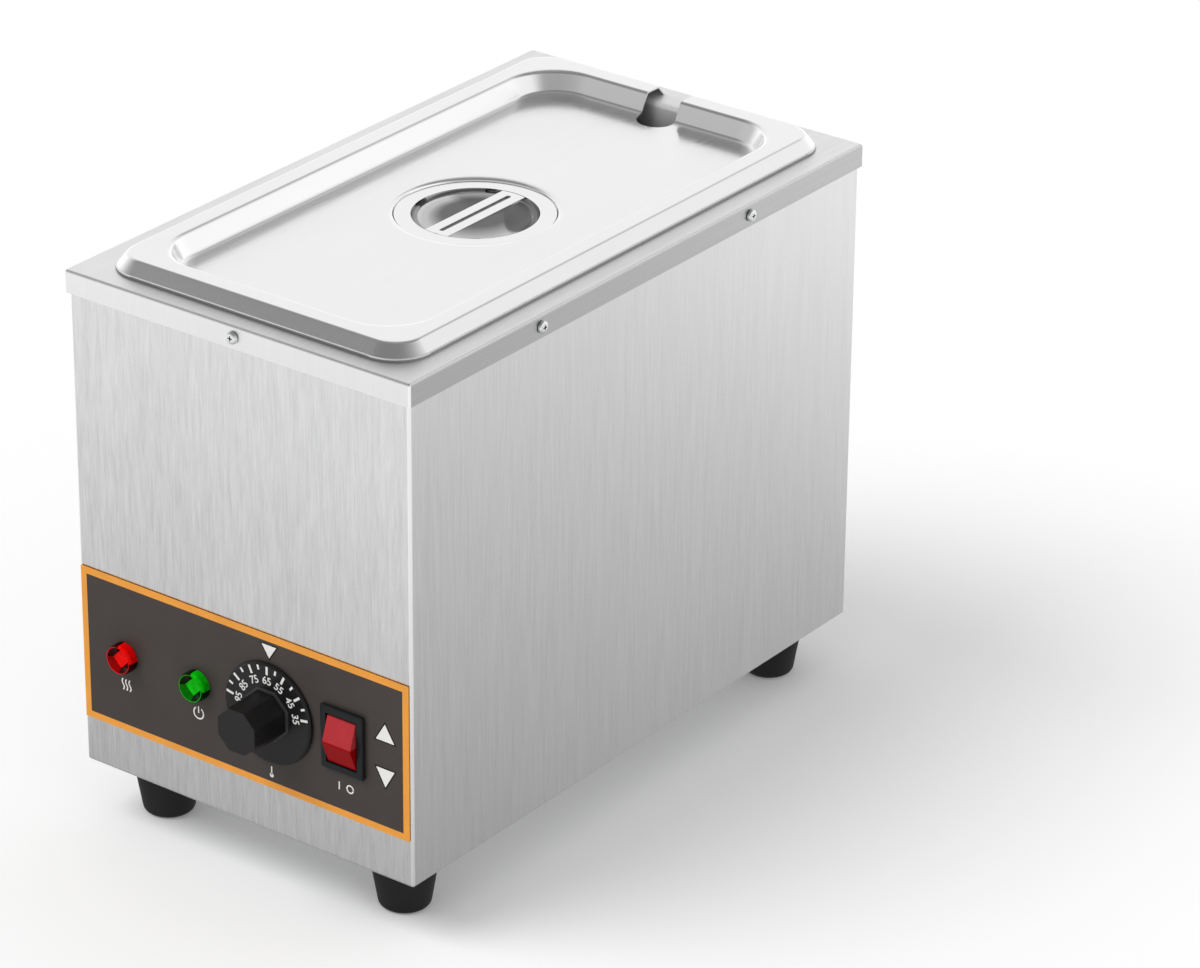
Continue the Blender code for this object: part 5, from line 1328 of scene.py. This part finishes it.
def border_strips(width):
    """The outlines of the four strips of the label's border."""
    low_x, high_x = LABEL_LOW.x, LABEL_HIGH.x
    low_z, high_z = LABEL_LOW.z, LABEL_HIGH.z
    return [
        rectangle(low_x, low_z, high_x, low_z + width),
        rectangle(low_x, high_z - width, high_x, high_z),
        rectangle(low_x, low_z + width, low_x + width, high_z - width),
        rectangle(high_x - width, low_z + width, high_x, high_z - width),
    ]


def build_label_plate(ground, border):
    """The label's plate with its holes. The border's colour goes round its edge."""
    shape = bmesh.new()
    box_into(shape, LABEL_LOW, LABEL_HIGH)
    plate = piece("label_plate", shape)
    holes = bmesh.new()
    control_holes(holes, LABEL_FACE, LABEL_REACH, LABEL_SCREW_HOLE)
    cut(plate, holes)
    settle(plate)
    dress(plate, "casing", [ground, border], ["control_label"])
    mark(plate, 1, lambda centre, normal: abs(normal.y) < MOSTLY and at_label_edge(centre))


def build_label(sizes, colours):
    """The control label with its printed border, triangles and symbols."""
    ground = moulded("label_ground", colours.label)
    border = moulded("border_ink", colours.border)
    ink = moulded("white_ink", colours.ink)
    shade = moulded("mark_outline", colours.bakelite)
    marks = triangles()
    build_label_plate(ground, border)
    label_print("label_border", border_strips(sizes.border_width), border)
    label_print("label_marks", marks, ink, 2 * PRINT_LIFT)
    label_print("label_symbols", label_symbols(), ink)
    label_print("mark_outlines", [grown(points, MARK_OUTLINE) for points in marks], shade)


def lens_quarter(place):
    """Which copy of the lens's plastic shows at a place, for painted shade: 0 lit, 1 middle, 2
    darkest.
    """
    angle = math.atan2(place.y, place.x)
    return LENS_SHADED_QUARTERS[int(angle // (math.pi / 2)) % len(LENS_SHADED_QUARTERS)]


def lens_mesh(name, radius, height, place):
    """A round lens with a bevelled rim, dished by four facets to a square in its middle."""
    rim = radius * LENS_RIM_SHARE
    profile = [
        (rim, height),
        (radius - LENS_BEVEL, height),
        (radius, height - LENS_BEVEL),
        (radius, PRINT_LIFT),
        (LENS_STEM, PRINT_LIFT),
        (LENS_STEM, -LENS_STEM_LENGTH),
        (0, -LENS_STEM_LENGTH),
    ]
    shape = bmesh.new()
    turned_into(shape, rounded_profile(profile, LENS_BEVEL / 2, SMALL_BEND_STEPS), MOULDED_SIDES)
    outer = []
    inner = []
    for x, y in circle(1, MOULDED_SIDES):
        outer.append(shape.verts.new((rim * x, rim * y, height)))
        reach = radius * LENS_SQUARE_SHARE / (abs(x) + abs(y))
        inner.append(shape.verts.new((reach * x, reach * y, height - LENS_DISH)))
    facets = set(skin(shape, [outer, inner]))
    shape.faces.new(inner)
    # Painted shade: facets and rim take a lit, middle or dark copy of the plastic by quarter
    for face in shape.faces:
        middle = face.calc_center_median()
        if face in facets or Vector(middle[:2]).length > rim:
            face.material_index = lens_quarter(middle)
    bmesh.ops.transform(shape, matrix=place, verts=shape.verts)
    return mesh_from(shape, name)


def build_lamps(sizes, colours):
    """The lens of each lamp."""
    for name, base in (("red", colours.red_lens), ("green", colours.green_lens)):
        node = f"{name}_lamp_lens"
        height = LABEL_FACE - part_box(node)[0].y
        mesh = lens_mesh(f"{name}_lens", sizes.lens_radius, height, control_place(node))
        lens = new_object(f"{name}_lens", mesh)
        indices = [polygon.material_index for polygon in mesh.polygons]
        # Lit and darker copies of the plastic for the painted shade
        shades = []
        for shade, share in LENS_PAINTED_SHADES:
            shades.append(lens_plastic(f"{name}_lens_{shade}", tinted(base, share)))
        dress(lens, "casing", shades, [node])
        for polygon, index in zip(mesh.polygons, indices):
            polygon.material_index = index


def build_skirt(radius, bakelite, place):
    """The knob's hollow skirt."""
    inside = radius - SKIRT_WALL
    ceiling = KNOB_FOOT + SKIRT_HOLLOW
    profile = [
        (0, SKIRT_TOP),
        (radius - SKIRT_EDGE, SKIRT_TOP),
        (radius, SKIRT_TOP - SKIRT_EDGE),
        (radius, KNOB_FOOT),
        (inside, KNOB_FOOT),
        (inside, ceiling),
        (SKIRT_HUB, ceiling),
        (SKIRT_HUB, KNOB_FOOT),
        (0, KNOB_FOOT),
    ]
    shape = bmesh.new()
    turned_into(shape, rounded_profile(profile, KNOB_ROUNDING, FINE_BEND_STEPS), ROUND_SIDES)
    bmesh.ops.transform(shape, matrix=place, verts=shape.verts)
    skirt = piece("knob_skirt", shape)
    dress(skirt, "knob", [bakelite], ["thermostat_knob"])


def grip_outline(radius):
    """Points of the grip's outline, which has level and upright sides."""
    half = math.pi / GRIP_SIDES
    angles = [half + 2 * half * side for side in range(GRIP_SIDES)]
    return [(radius * math.cos(angle), radius * math.sin(angle)) for angle in angles]


def on_land(spot, grip_base):
    """Whether a face at a place of the knob lies on the step at the grip's foot."""
    return spot.z < SKIRT_TOP + LAND_LIMIT and Vector(spot[:2]).length > grip_base * LAND_SHARE


def build_grip(sizes, finishes, place):
    """The knob's tapered grip with flat sides, and the small step at its foot."""
    land = sizes.grip_base + sizes.grip_land
    levels = (
        (land, SKIRT_TOP - GRIP_SINK),
        (land, SKIRT_TOP + LAND_EDGE),
        (sizes.grip_base, SKIRT_TOP + LAND_TOP),
        (sizes.grip_end, LABEL_FACE - KNOB_LOW.y),
    )
    shape = bmesh.new()
    loops = []
    for radius, height in levels:
        loops.append([shape.verts.new((x, y, height)) for x, y in grip_outline(radius)])
    shape.faces.new(loops[0][::-1])
    shape.faces.new(loops[-1])
    skin(shape, loops)
    bmesh.ops.transform(shape, matrix=place, verts=shape.verts)
    grip = piece("knob_grip", shape)
    soften(grip, KNOB_ROUNDING, SMALL_BEND_STEPS)
    settle(grip)
    dress(grip, "knob", finishes, ["thermostat_knob"])
    back = place.inverted()
    # Painted highlight on the step at the grip's foot
    mark(grip, 1, lambda centre, normal: on_land(back @ centre, sizes.grip_base))


def figure_mesh(text, height, place):
    """A mesh of flat figures of a height, centred on a place."""
    curve = bpy.data.curves.new("figures", "FONT")
    curve.body = text
    curve.size = height * FIGURE_TYPE_SHARE
    curve.align_x = "CENTER"
    curve.align_y = "CENTER"
    curve.extrude = PRINT_LIFT / 2
    curve.offset = height * FIGURE_WEIGHT
    obj = new_object("figures", curve)
    mesh = evaluated_mesh(obj)
    mesh.transform(place)
    bpy.data.objects.remove(obj, do_unlink=True)
    return mesh


def build_dial_print(figure_height, ink, place):
    """The figures and the ticks on the knob's skirt."""
    shape = bmesh.new()
    out = Matrix.Translation((0, FIGURE_RADIUS, SKIRT_TOP + PRINT_LIFT / 2))
    angles = [math.radians(degrees) for _, degrees in DIAL_FIGURES]
    for (figure, _), angle in zip(DIAL_FIGURES, angles):
        spin = Matrix.Rotation(angle - math.pi / 2, 4, "Z")
        shape.from_mesh(figure_mesh(str(figure), figure_height, place @ spin @ out))
    ticks = [(angle, FIGURE_TICK) for angle in angles]
    ticks += [((first + second) / 2, HALFWAY_TICK) for first, second in zip(angles, angles[1:])]
    for angle, (width, start) in ticks:
        outline = rectangle(start, -width / 2, TICK_END, width / 2)
        spin = Matrix.Rotation(angle, 4, "Z")
        prism_into(shape, outline, SKIRT_TOP, SKIRT_TOP + PRINT_LIFT, place @ spin)
    obj = piece("dial_print", shape)
    dress(obj, "knob", [ink])


def build_knob(sizes, colours):
    """The knob: its skirt, its grip and the print of the dial."""
    place = control_place("thermostat_knob")
    bakelite = moulded("knob_bakelite", colours.bakelite)
    # Painted highlight: a brighter copy of the bakelite for the step at the grip's foot
    land_sheen = moulded("land_sheen_bakelite", tinted(colours.bakelite, LAND_SHEEN_TINT))
    ink = moulded("white_ink", colours.ink)
    build_skirt(sizes.knob_radius, bakelite, place)
    build_grip(sizes, [bakelite, land_sheen], place)
    build_dial_print(sizes.figure_height, ink, place)


def rocker_plastic(colours):
    """Red plastic, darker on the lower half of the rocker as painted shade."""
    material = moulded("rocker_plastic", colours.rocker)
    tree = material.node_tree
    shader = tree.nodes["Principled BSDF"]
    upper = shader.inputs["Base Color"].links[0].from_socket
    coordinates = tree.nodes.new("ShaderNodeTexCoord")
    split = tree.nodes.new("ShaderNodeSeparateXYZ")
    tree.links.new(coordinates.outputs["Object"], split.inputs["Vector"])
    low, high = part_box("switch_rocker")
    ridge = low.z + (high.z - low.z) * ROCKER_RIDGE_SHARE
    half = ranged(tree, split.outputs["Z"], 0, 1, ridge - ROCKER_BLEND, ridge + ROCKER_BLEND)
    mix = tree.nodes.new("ShaderNodeMix")
    mix.data_type = "RGBA"
    mix.inputs["A"].default_value = (*colours.rocker_low, 1)
    tree.links.new(half, mix.inputs["Factor"])
    tree.links.new(upper, mix.inputs["B"])
    tree.links.new(mix.outputs["Result"], shader.inputs["Base Color"])
    return material


def finish_switch(colours):
    """The housing's finish, and the rocker with its lower end carried out to the bezel."""
    nylon = moulded("switch_nylon", colours.black_nylon)
    finish_node("switch_housing", nylon)
    source = FRAME["nodes"]["switch_rocker"]
    mesh = source.data.copy()
    mesh.transform(source.matrix_world)
    low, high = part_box("switch_rocker")
    for vertex in mesh.vertices:
        near = high.y - vertex.co.y
        if vertex.co.z < low.z + ROCKER_FOOT_HEIGHT and near > high.y - low.y - ROCKER_FOOT_DEPTH:
            vertex.co.y -= ROCKER_FOOT_REACH
    rocker = new_object("rocker_moulding", mesh)
    dress(rocker, "rocker", [rocker_plastic(colours)], ["switch_rocker"])


# Hidden and small pieces


def finish_small_parts(colours):
    """Finishes of the CAD pieces that keep their own shape."""
    zinc = brushed("zinc_plate", colours.zinc)
    nylon = moulded("white_nylon", colours.white_nylon)
    brass = brushed("brass", colours.brass)
    finishes = (
        (zinc, ["base_plate", "thermostat_shaft", "thermostat_frame", "bulb_clip"]),
        (zinc, ["thermostat_screw_left", "thermostat_screw_right"]),
        (zinc, [f"foot_screw_{name}" for name in FOOT_NAMES]),
        (nylon, ["red_lamp_body", "red_lamp_nut", "green_lamp_body", "green_lamp_nut"]),
        (nylon, ["terminal_block"]),
        (moulded("thermostat_bakelite", colours.bakelite), ["thermostat_body"]),
        (brushed("copper", colours.copper), ["thermostat_bulb", "thermostat_capillary"]),
        (brushed("element_sheath", colours.lid_steel), ["heating_element"]),
        (brass, ["element_bushing_left", "element_bushing_right"]),
        (brass, ["element_nut_left", "element_nut_right", "earth_stud", "earth_nut"]),
        (
            moulded("silicone", colours.silicone),
            ["element_gasket_left", "element_gasket_right"],
        ),
        (
            moulded("gland_nylon", colours.black_nylon),
            ["cord_gland_body", "cord_gland_cap", "cord_gland_locknut"],
        ),
        (moulded("seal_rubber", colours.rubber), ["cord_gland_seal"]),
        (
            moulded("brown_insulation", colours.brown_wire),
            ["wire_live", "wire_switched", "wire_element"],
        ),
        (
            moulded("blue_insulation", colours.blue_wire),
            ["wire_neutral", "wire_lamp_link", "wire_lamp_neutral"],
        ),
    )
    for material, nodes in finishes:
        for node in nodes:
            finish_node(node, material)


# Stage


def vector_math(tree, operation, first, second=None):
    """One step of vector arithmetic."""
    node = tree.nodes.new("ShaderNodeVectorMath")
    node.operation = operation
    tree.links.new(first, node.inputs[0])
    if second is not None:
        node.inputs[1].default_value = second
    return node.outputs["Vector"]


def floor_places(tree):
    """The X and Y of a point of the floor, and how far it lies outside the cabinet."""
    coordinates = tree.nodes.new("ShaderNodeTexCoord")
    place = tree.nodes.new("ShaderNodeSeparateXYZ")
    tree.links.new(coordinates.outputs["Object"], place.inputs["Vector"])
    centred = vector_math(tree, "SUBTRACT", coordinates.outputs["Object"], MIDDLE)
    apart = vector_math(tree, "ABSOLUTE", centred)
    outside = vector_math(tree, "SUBTRACT", apart, (DECK_HIGH - DECK_LOW) / 2)
    split = tree.nodes.new("ShaderNodeSeparateXYZ")
    tree.links.new(outside, split.inputs["Vector"])
    away = added(tree, split.outputs["X"], split.outputs["Y"], "MAXIMUM")
    return place.outputs["X"], place.outputs["Y"], away


def mirrored_floor(tree):
    """How bright metal sees the floor: a painted shadow near the cabinet, and painted light in
    front.
    """
    x, y, away = floor_places(tree)
    shade = ranged(tree, away, *FLOOR_NEAR)
    side = ranged(tree, added(tree, y, x, "SUBTRACT"), *FLOOR_SIDE)
    front = ranged(tree, y, *FLOOR_FRONT)
    tilt = added(tree, side, front, "MAXIMUM")
    return added(tree, shade, tilt, "MULTIPLY")


def mixed(tree, share, first, second):
    """The first shader where the share is 0, and the second where it is 1."""
    node = tree.nodes.new("ShaderNodeMixShader")
    tree.links.new(share, node.inputs["Fac"])
    tree.links.new(first, node.inputs[1])
    tree.links.new(second, node.inputs[2])
    return node.outputs["Shader"]


def floor_material(stage):
    """White for the eye with the object's shadow on it, and a painted shadow near the cabinet for
    metal.
    """
    material, tree, shader = empty_material("floor")
    shader.inputs["Base Color"].default_value = (*stage.floor_colour, 1)
    shader.inputs["Roughness"].default_value = FLOOR_ROUGHNESS
    shader.inputs["Specular IOR Level"].default_value = 0
    shader.inputs["Emission Color"].default_value = WHITE
    path = tree.nodes.new("ShaderNodeLightPath")
    eye = added(tree, path.outputs["Is Camera Ray"], path.outputs["Is Transmission Ray"], "MAXIMUM")
    tree.links.new(ranged(tree, eye, 0, stage.glow, 0, 1), shader.inputs["Emission Strength"])
    mirrored = tree.nodes.new("ShaderNodeEmission")
    tree.links.new(mirrored_floor(tree), mirrored.inputs["Strength"])
    seen = mixed(
        tree, path.outputs["Is Glossy Ray"], shader.outputs["BSDF"], mirrored.outputs["Emission"]
    )
    tree.links.new(seen, tree.nodes["Material Output"].inputs["Surface"])
    return material


def build_floor(stage):
    """A plain pale floor."""
    half = stage.floor_size / 2
    mesh = bpy.data.meshes.new("floor")
    corners = [(-half, -half, 0), (half, -half, 0), (half, half, 0), (-half, half, 0)]
    mesh.from_pydata(corners, [], [(0, 1, 2, 3)])
    floor = new_object("floor", mesh)
    floor.data.materials.append(floor_material(stage))


def mirrored_sky(tree):
    """How bright metal sees the sky: dimmer high up, most of all in front of the cabinet."""
    coordinates = tree.nodes.new("ShaderNodeTexCoord")
    split = tree.nodes.new("ShaderNodeSeparateXYZ")
    tree.links.new(coordinates.outputs["Generated"], split.inputs["Vector"])
    height = split.outputs["Z"]
    front = ranged(tree, height, *SKY_FRONT)
    above = ranged(tree, height, *SKY_ABOVE)
    low = ranged(tree, height, *SKY_LOW)
    behind = added(tree, low, above, "MULTIPLY")
    return blended(tree, ranged(tree, split.outputs["Y"], *SKY_TURN), front, behind)


def build_world(stage):
    """Soft light all round, white for the eye, and brighter and darker parts for metal."""
    world = bpy.data.worlds.get("studio") or bpy.data.worlds.new("studio")
    bpy.context.scene.world = world
    world.use_nodes = True
    tree = world.node_tree
    tree.nodes.clear()
    output = tree.nodes.new("ShaderNodeOutputWorld")
    soft = tree.nodes.new("ShaderNodeBackground")
    soft.inputs["Color"].default_value = WHITE
    soft.inputs["Strength"].default_value = stage.sky
    seen = tree.nodes.new("ShaderNodeBackground")
    seen.inputs["Color"].default_value = WHITE
    path = tree.nodes.new("ShaderNodeLightPath")
    eye = path.outputs["Is Camera Ray"]
    tree.links.new(added(tree, eye, mirrored_sky(tree), "MAXIMUM"), seen.inputs["Strength"])
    either = added(tree, eye, path.outputs["Is Glossy Ray"], "MAXIMUM")
    either = added(tree, either, path.outputs["Is Transmission Ray"], "MAXIMUM")
    sky = mixed(tree, either, soft.outputs["Background"], seen.outputs["Background"])
    tree.links.new(sky, output.inputs["Surface"])


def build_light(stage):
    """A soft key light from the front left, which metal doesn't mirror."""
    data = bpy.data.lights.new("key_light", "SUN")
    data.energy = stage.sun
    data.angle = LIGHT_SPREAD
    light = new_object("key_light", data)
    light.visible_glossy = False
    light.rotation_euler = Vector(LIGHT_TOWARDS).to_track_quat("-Z", "Y").to_euler()


def build_camera(stage):
    """The camera at the viewing angle of the photograph."""
    level = math.cos(CAMERA_ELEVATION)
    east = math.sin(CAMERA_AZIMUTH)
    south = math.cos(CAMERA_AZIMUTH)
    back = Vector((east * level, -south * level, math.sin(CAMERA_ELEVATION)))
    right = Vector((south, east, 0))
    up = back.cross(right)
    across = right * math.cos(CAMERA_ROLL) + up * math.sin(CAMERA_ROLL)
    upward = up * math.cos(CAMERA_ROLL) - right * math.sin(CAMERA_ROLL)
    data = bpy.data.cameras.new("camera")
    data.lens = stage.camera_lens
    data.sensor_width = CAMERA_SENSOR
    data.sensor_fit = "HORIZONTAL"
    data.clip_end = CAMERA_RANGE
    camera = new_object("camera", data)
    turn = Matrix((across, upward, back)).transposed().to_4x4()
    camera.matrix_world = Matrix.Translation(CAMERA_PLACE) @ turn
    bpy.context.scene.camera = camera


# Operators


class Builder:
    """What the operators share: they run their builders with groups of the scene's settings."""

    settings = ("melter_sizes", "melter_colours")
    builders = ()

    def execute(self, context):
        groups = [getattr(context.scene, name) for name in self.settings]
        for build in self.builders:
            build(*groups)
        return {"FINISHED"}


class MELTER_OT_cabinet(Builder, Operator):
    """Build the housing and the deck"""

    bl_idname = "melter.cabinet"
    bl_label = "Housing and Deck"
    builders = (build_housing, build_deck)


class MELTER_OT_feet(Builder, Operator):
    """Build the four rubber feet"""

    bl_idname = "melter.feet"
    bl_label = "Feet"
    builders = (build_feet,)


class MELTER_OT_deck_screws(Builder, Operator):
    """Build the screws round the deck's skirt"""

    bl_idname = "melter.deck_screws"
    bl_label = "Deck Screws"
    settings = ("melter_colours",)
    builders = (build_deck_screws,)


class MELTER_OT_tank(Builder, Operator):
    """Build the water tank"""

    bl_idname = "melter.tank"
    bl_label = "Water Tank"
    builders = (build_tank,)


class MELTER_OT_pan(Builder, Operator):
    """Build the food pan"""

    bl_idname = "melter.pan"
    bl_label = "Food Pan"
    builders = (build_pan,)


class MELTER_OT_lid(Builder, Operator):
    """Build the notched lid"""

    bl_idname = "melter.lid"
    bl_label = "Lid"
    builders = (build_lid,)


class MELTER_OT_handle(Builder, Operator):
    """Build the lid's handle cup and bar"""

    bl_idname = "melter.handle"
    bl_label = "Lid Handle"
    builders = (build_cup, build_bar)


class MELTER_OT_label(Builder, Operator):
    """Build the control label and its print"""

    bl_idname = "melter.label"
    bl_label = "Control Label"
    builders = (build_label,)


class MELTER_OT_lamps(Builder, Operator):
    """Build the lenses of the two lamps"""

    bl_idname = "melter.lamps"
    bl_label = "Lamps"
    builders = (build_lamps,)


class MELTER_OT_knob(Builder, Operator):
    """Build the thermostat knob and its dial print"""

    bl_idname = "melter.knob"
    bl_label = "Thermostat Knob"
    builders = (build_knob,)


class MELTER_OT_switch(Builder, Operator):
    """Finish the rocker switch"""

    bl_idname = "melter.switch"
    bl_label = "Rocker Switch"
    settings = ("melter_colours",)
    builders = (finish_switch,)


class MELTER_OT_small_parts(Builder, Operator):
    """Finish the hidden and small parts"""

    bl_idname = "melter.small_parts"
    bl_label = "Small Parts"
    settings = ("melter_colours",)
    builders = (finish_small_parts,)


class MELTER_OT_stage(Builder, Operator):
    """Build the floor, the light and the camera"""

    bl_idname = "melter.stage"
    bl_label = "Stage"
    settings = ("melter_stage",)
    builders = (build_floor, build_world, build_light, build_camera)


OPERATORS = (
    MELTER_OT_stage,
    MELTER_OT_cabinet,
    MELTER_OT_feet,
    MELTER_OT_deck_screws,
    MELTER_OT_tank,
    MELTER_OT_pan,
    MELTER_OT_lid,
    MELTER_OT_handle,
    MELTER_OT_label,
    MELTER_OT_lamps,
    MELTER_OT_knob,
    MELTER_OT_switch,
    MELTER_OT_small_parts,
)


class MELTER_PT_pieces(Panel):
    """Buttons for the pieces, with their sizes and colours"""

    bl_idname = "MELTER_PT_pieces"
    bl_label = "Chocolate Melter"
    bl_space_type = "VIEW_3D"
    bl_region_type = "UI"
    bl_category = "Melter"

    def draw(self, context):
        layout = self.layout
        for operator in OPERATORS:
            layout.operator(operator.bl_idname)
        for settings in ("melter_sizes", "melter_colours", "melter_stage"):
            group = getattr(context.scene, settings)
            column = layout.column()
            for name in group.__annotations__:
                column.prop(group, name)


CLASSES = (MelterSizes, MelterColours, MelterStage) + OPERATORS + (MELTER_PT_pieces,)


def register():
    """Registers the settings, the operators and the panel."""
    for cls in CLASSES:
        bpy.utils.register_class(cls)
    bpy.types.Scene.melter_sizes = PointerProperty(type=MelterSizes)
    bpy.types.Scene.melter_colours = PointerProperty(type=MelterColours)
    bpy.types.Scene.melter_stage = PointerProperty(type=MelterStage)


def unregister():
    """Takes all of them away again."""
    del bpy.types.Scene.melter_stage
    del bpy.types.Scene.melter_colours
    del bpy.types.Scene.melter_sizes
    for cls in reversed(CLASSES):
        bpy.utils.unregister_class(cls)


def main():
    """Builds everything in order."""
    register()
    scene = bpy.context.scene
    scene.view_settings.view_transform = "Standard"
    bpy.ops.melter.stage()
    bpy.ops.melter.cabinet()
    bpy.ops.melter.feet()
    bpy.ops.melter.deck_screws()
    bpy.ops.melter.tank()
    bpy.ops.melter.pan()
    bpy.ops.melter.lid()
    bpy.ops.melter.handle()
    bpy.ops.melter.label()
    bpy.ops.melter.lamps()
    bpy.ops.melter.knob()
    bpy.ops.melter.switch()
    bpy.ops.melter.small_parts()


if __name__ == "__main__":
    main()
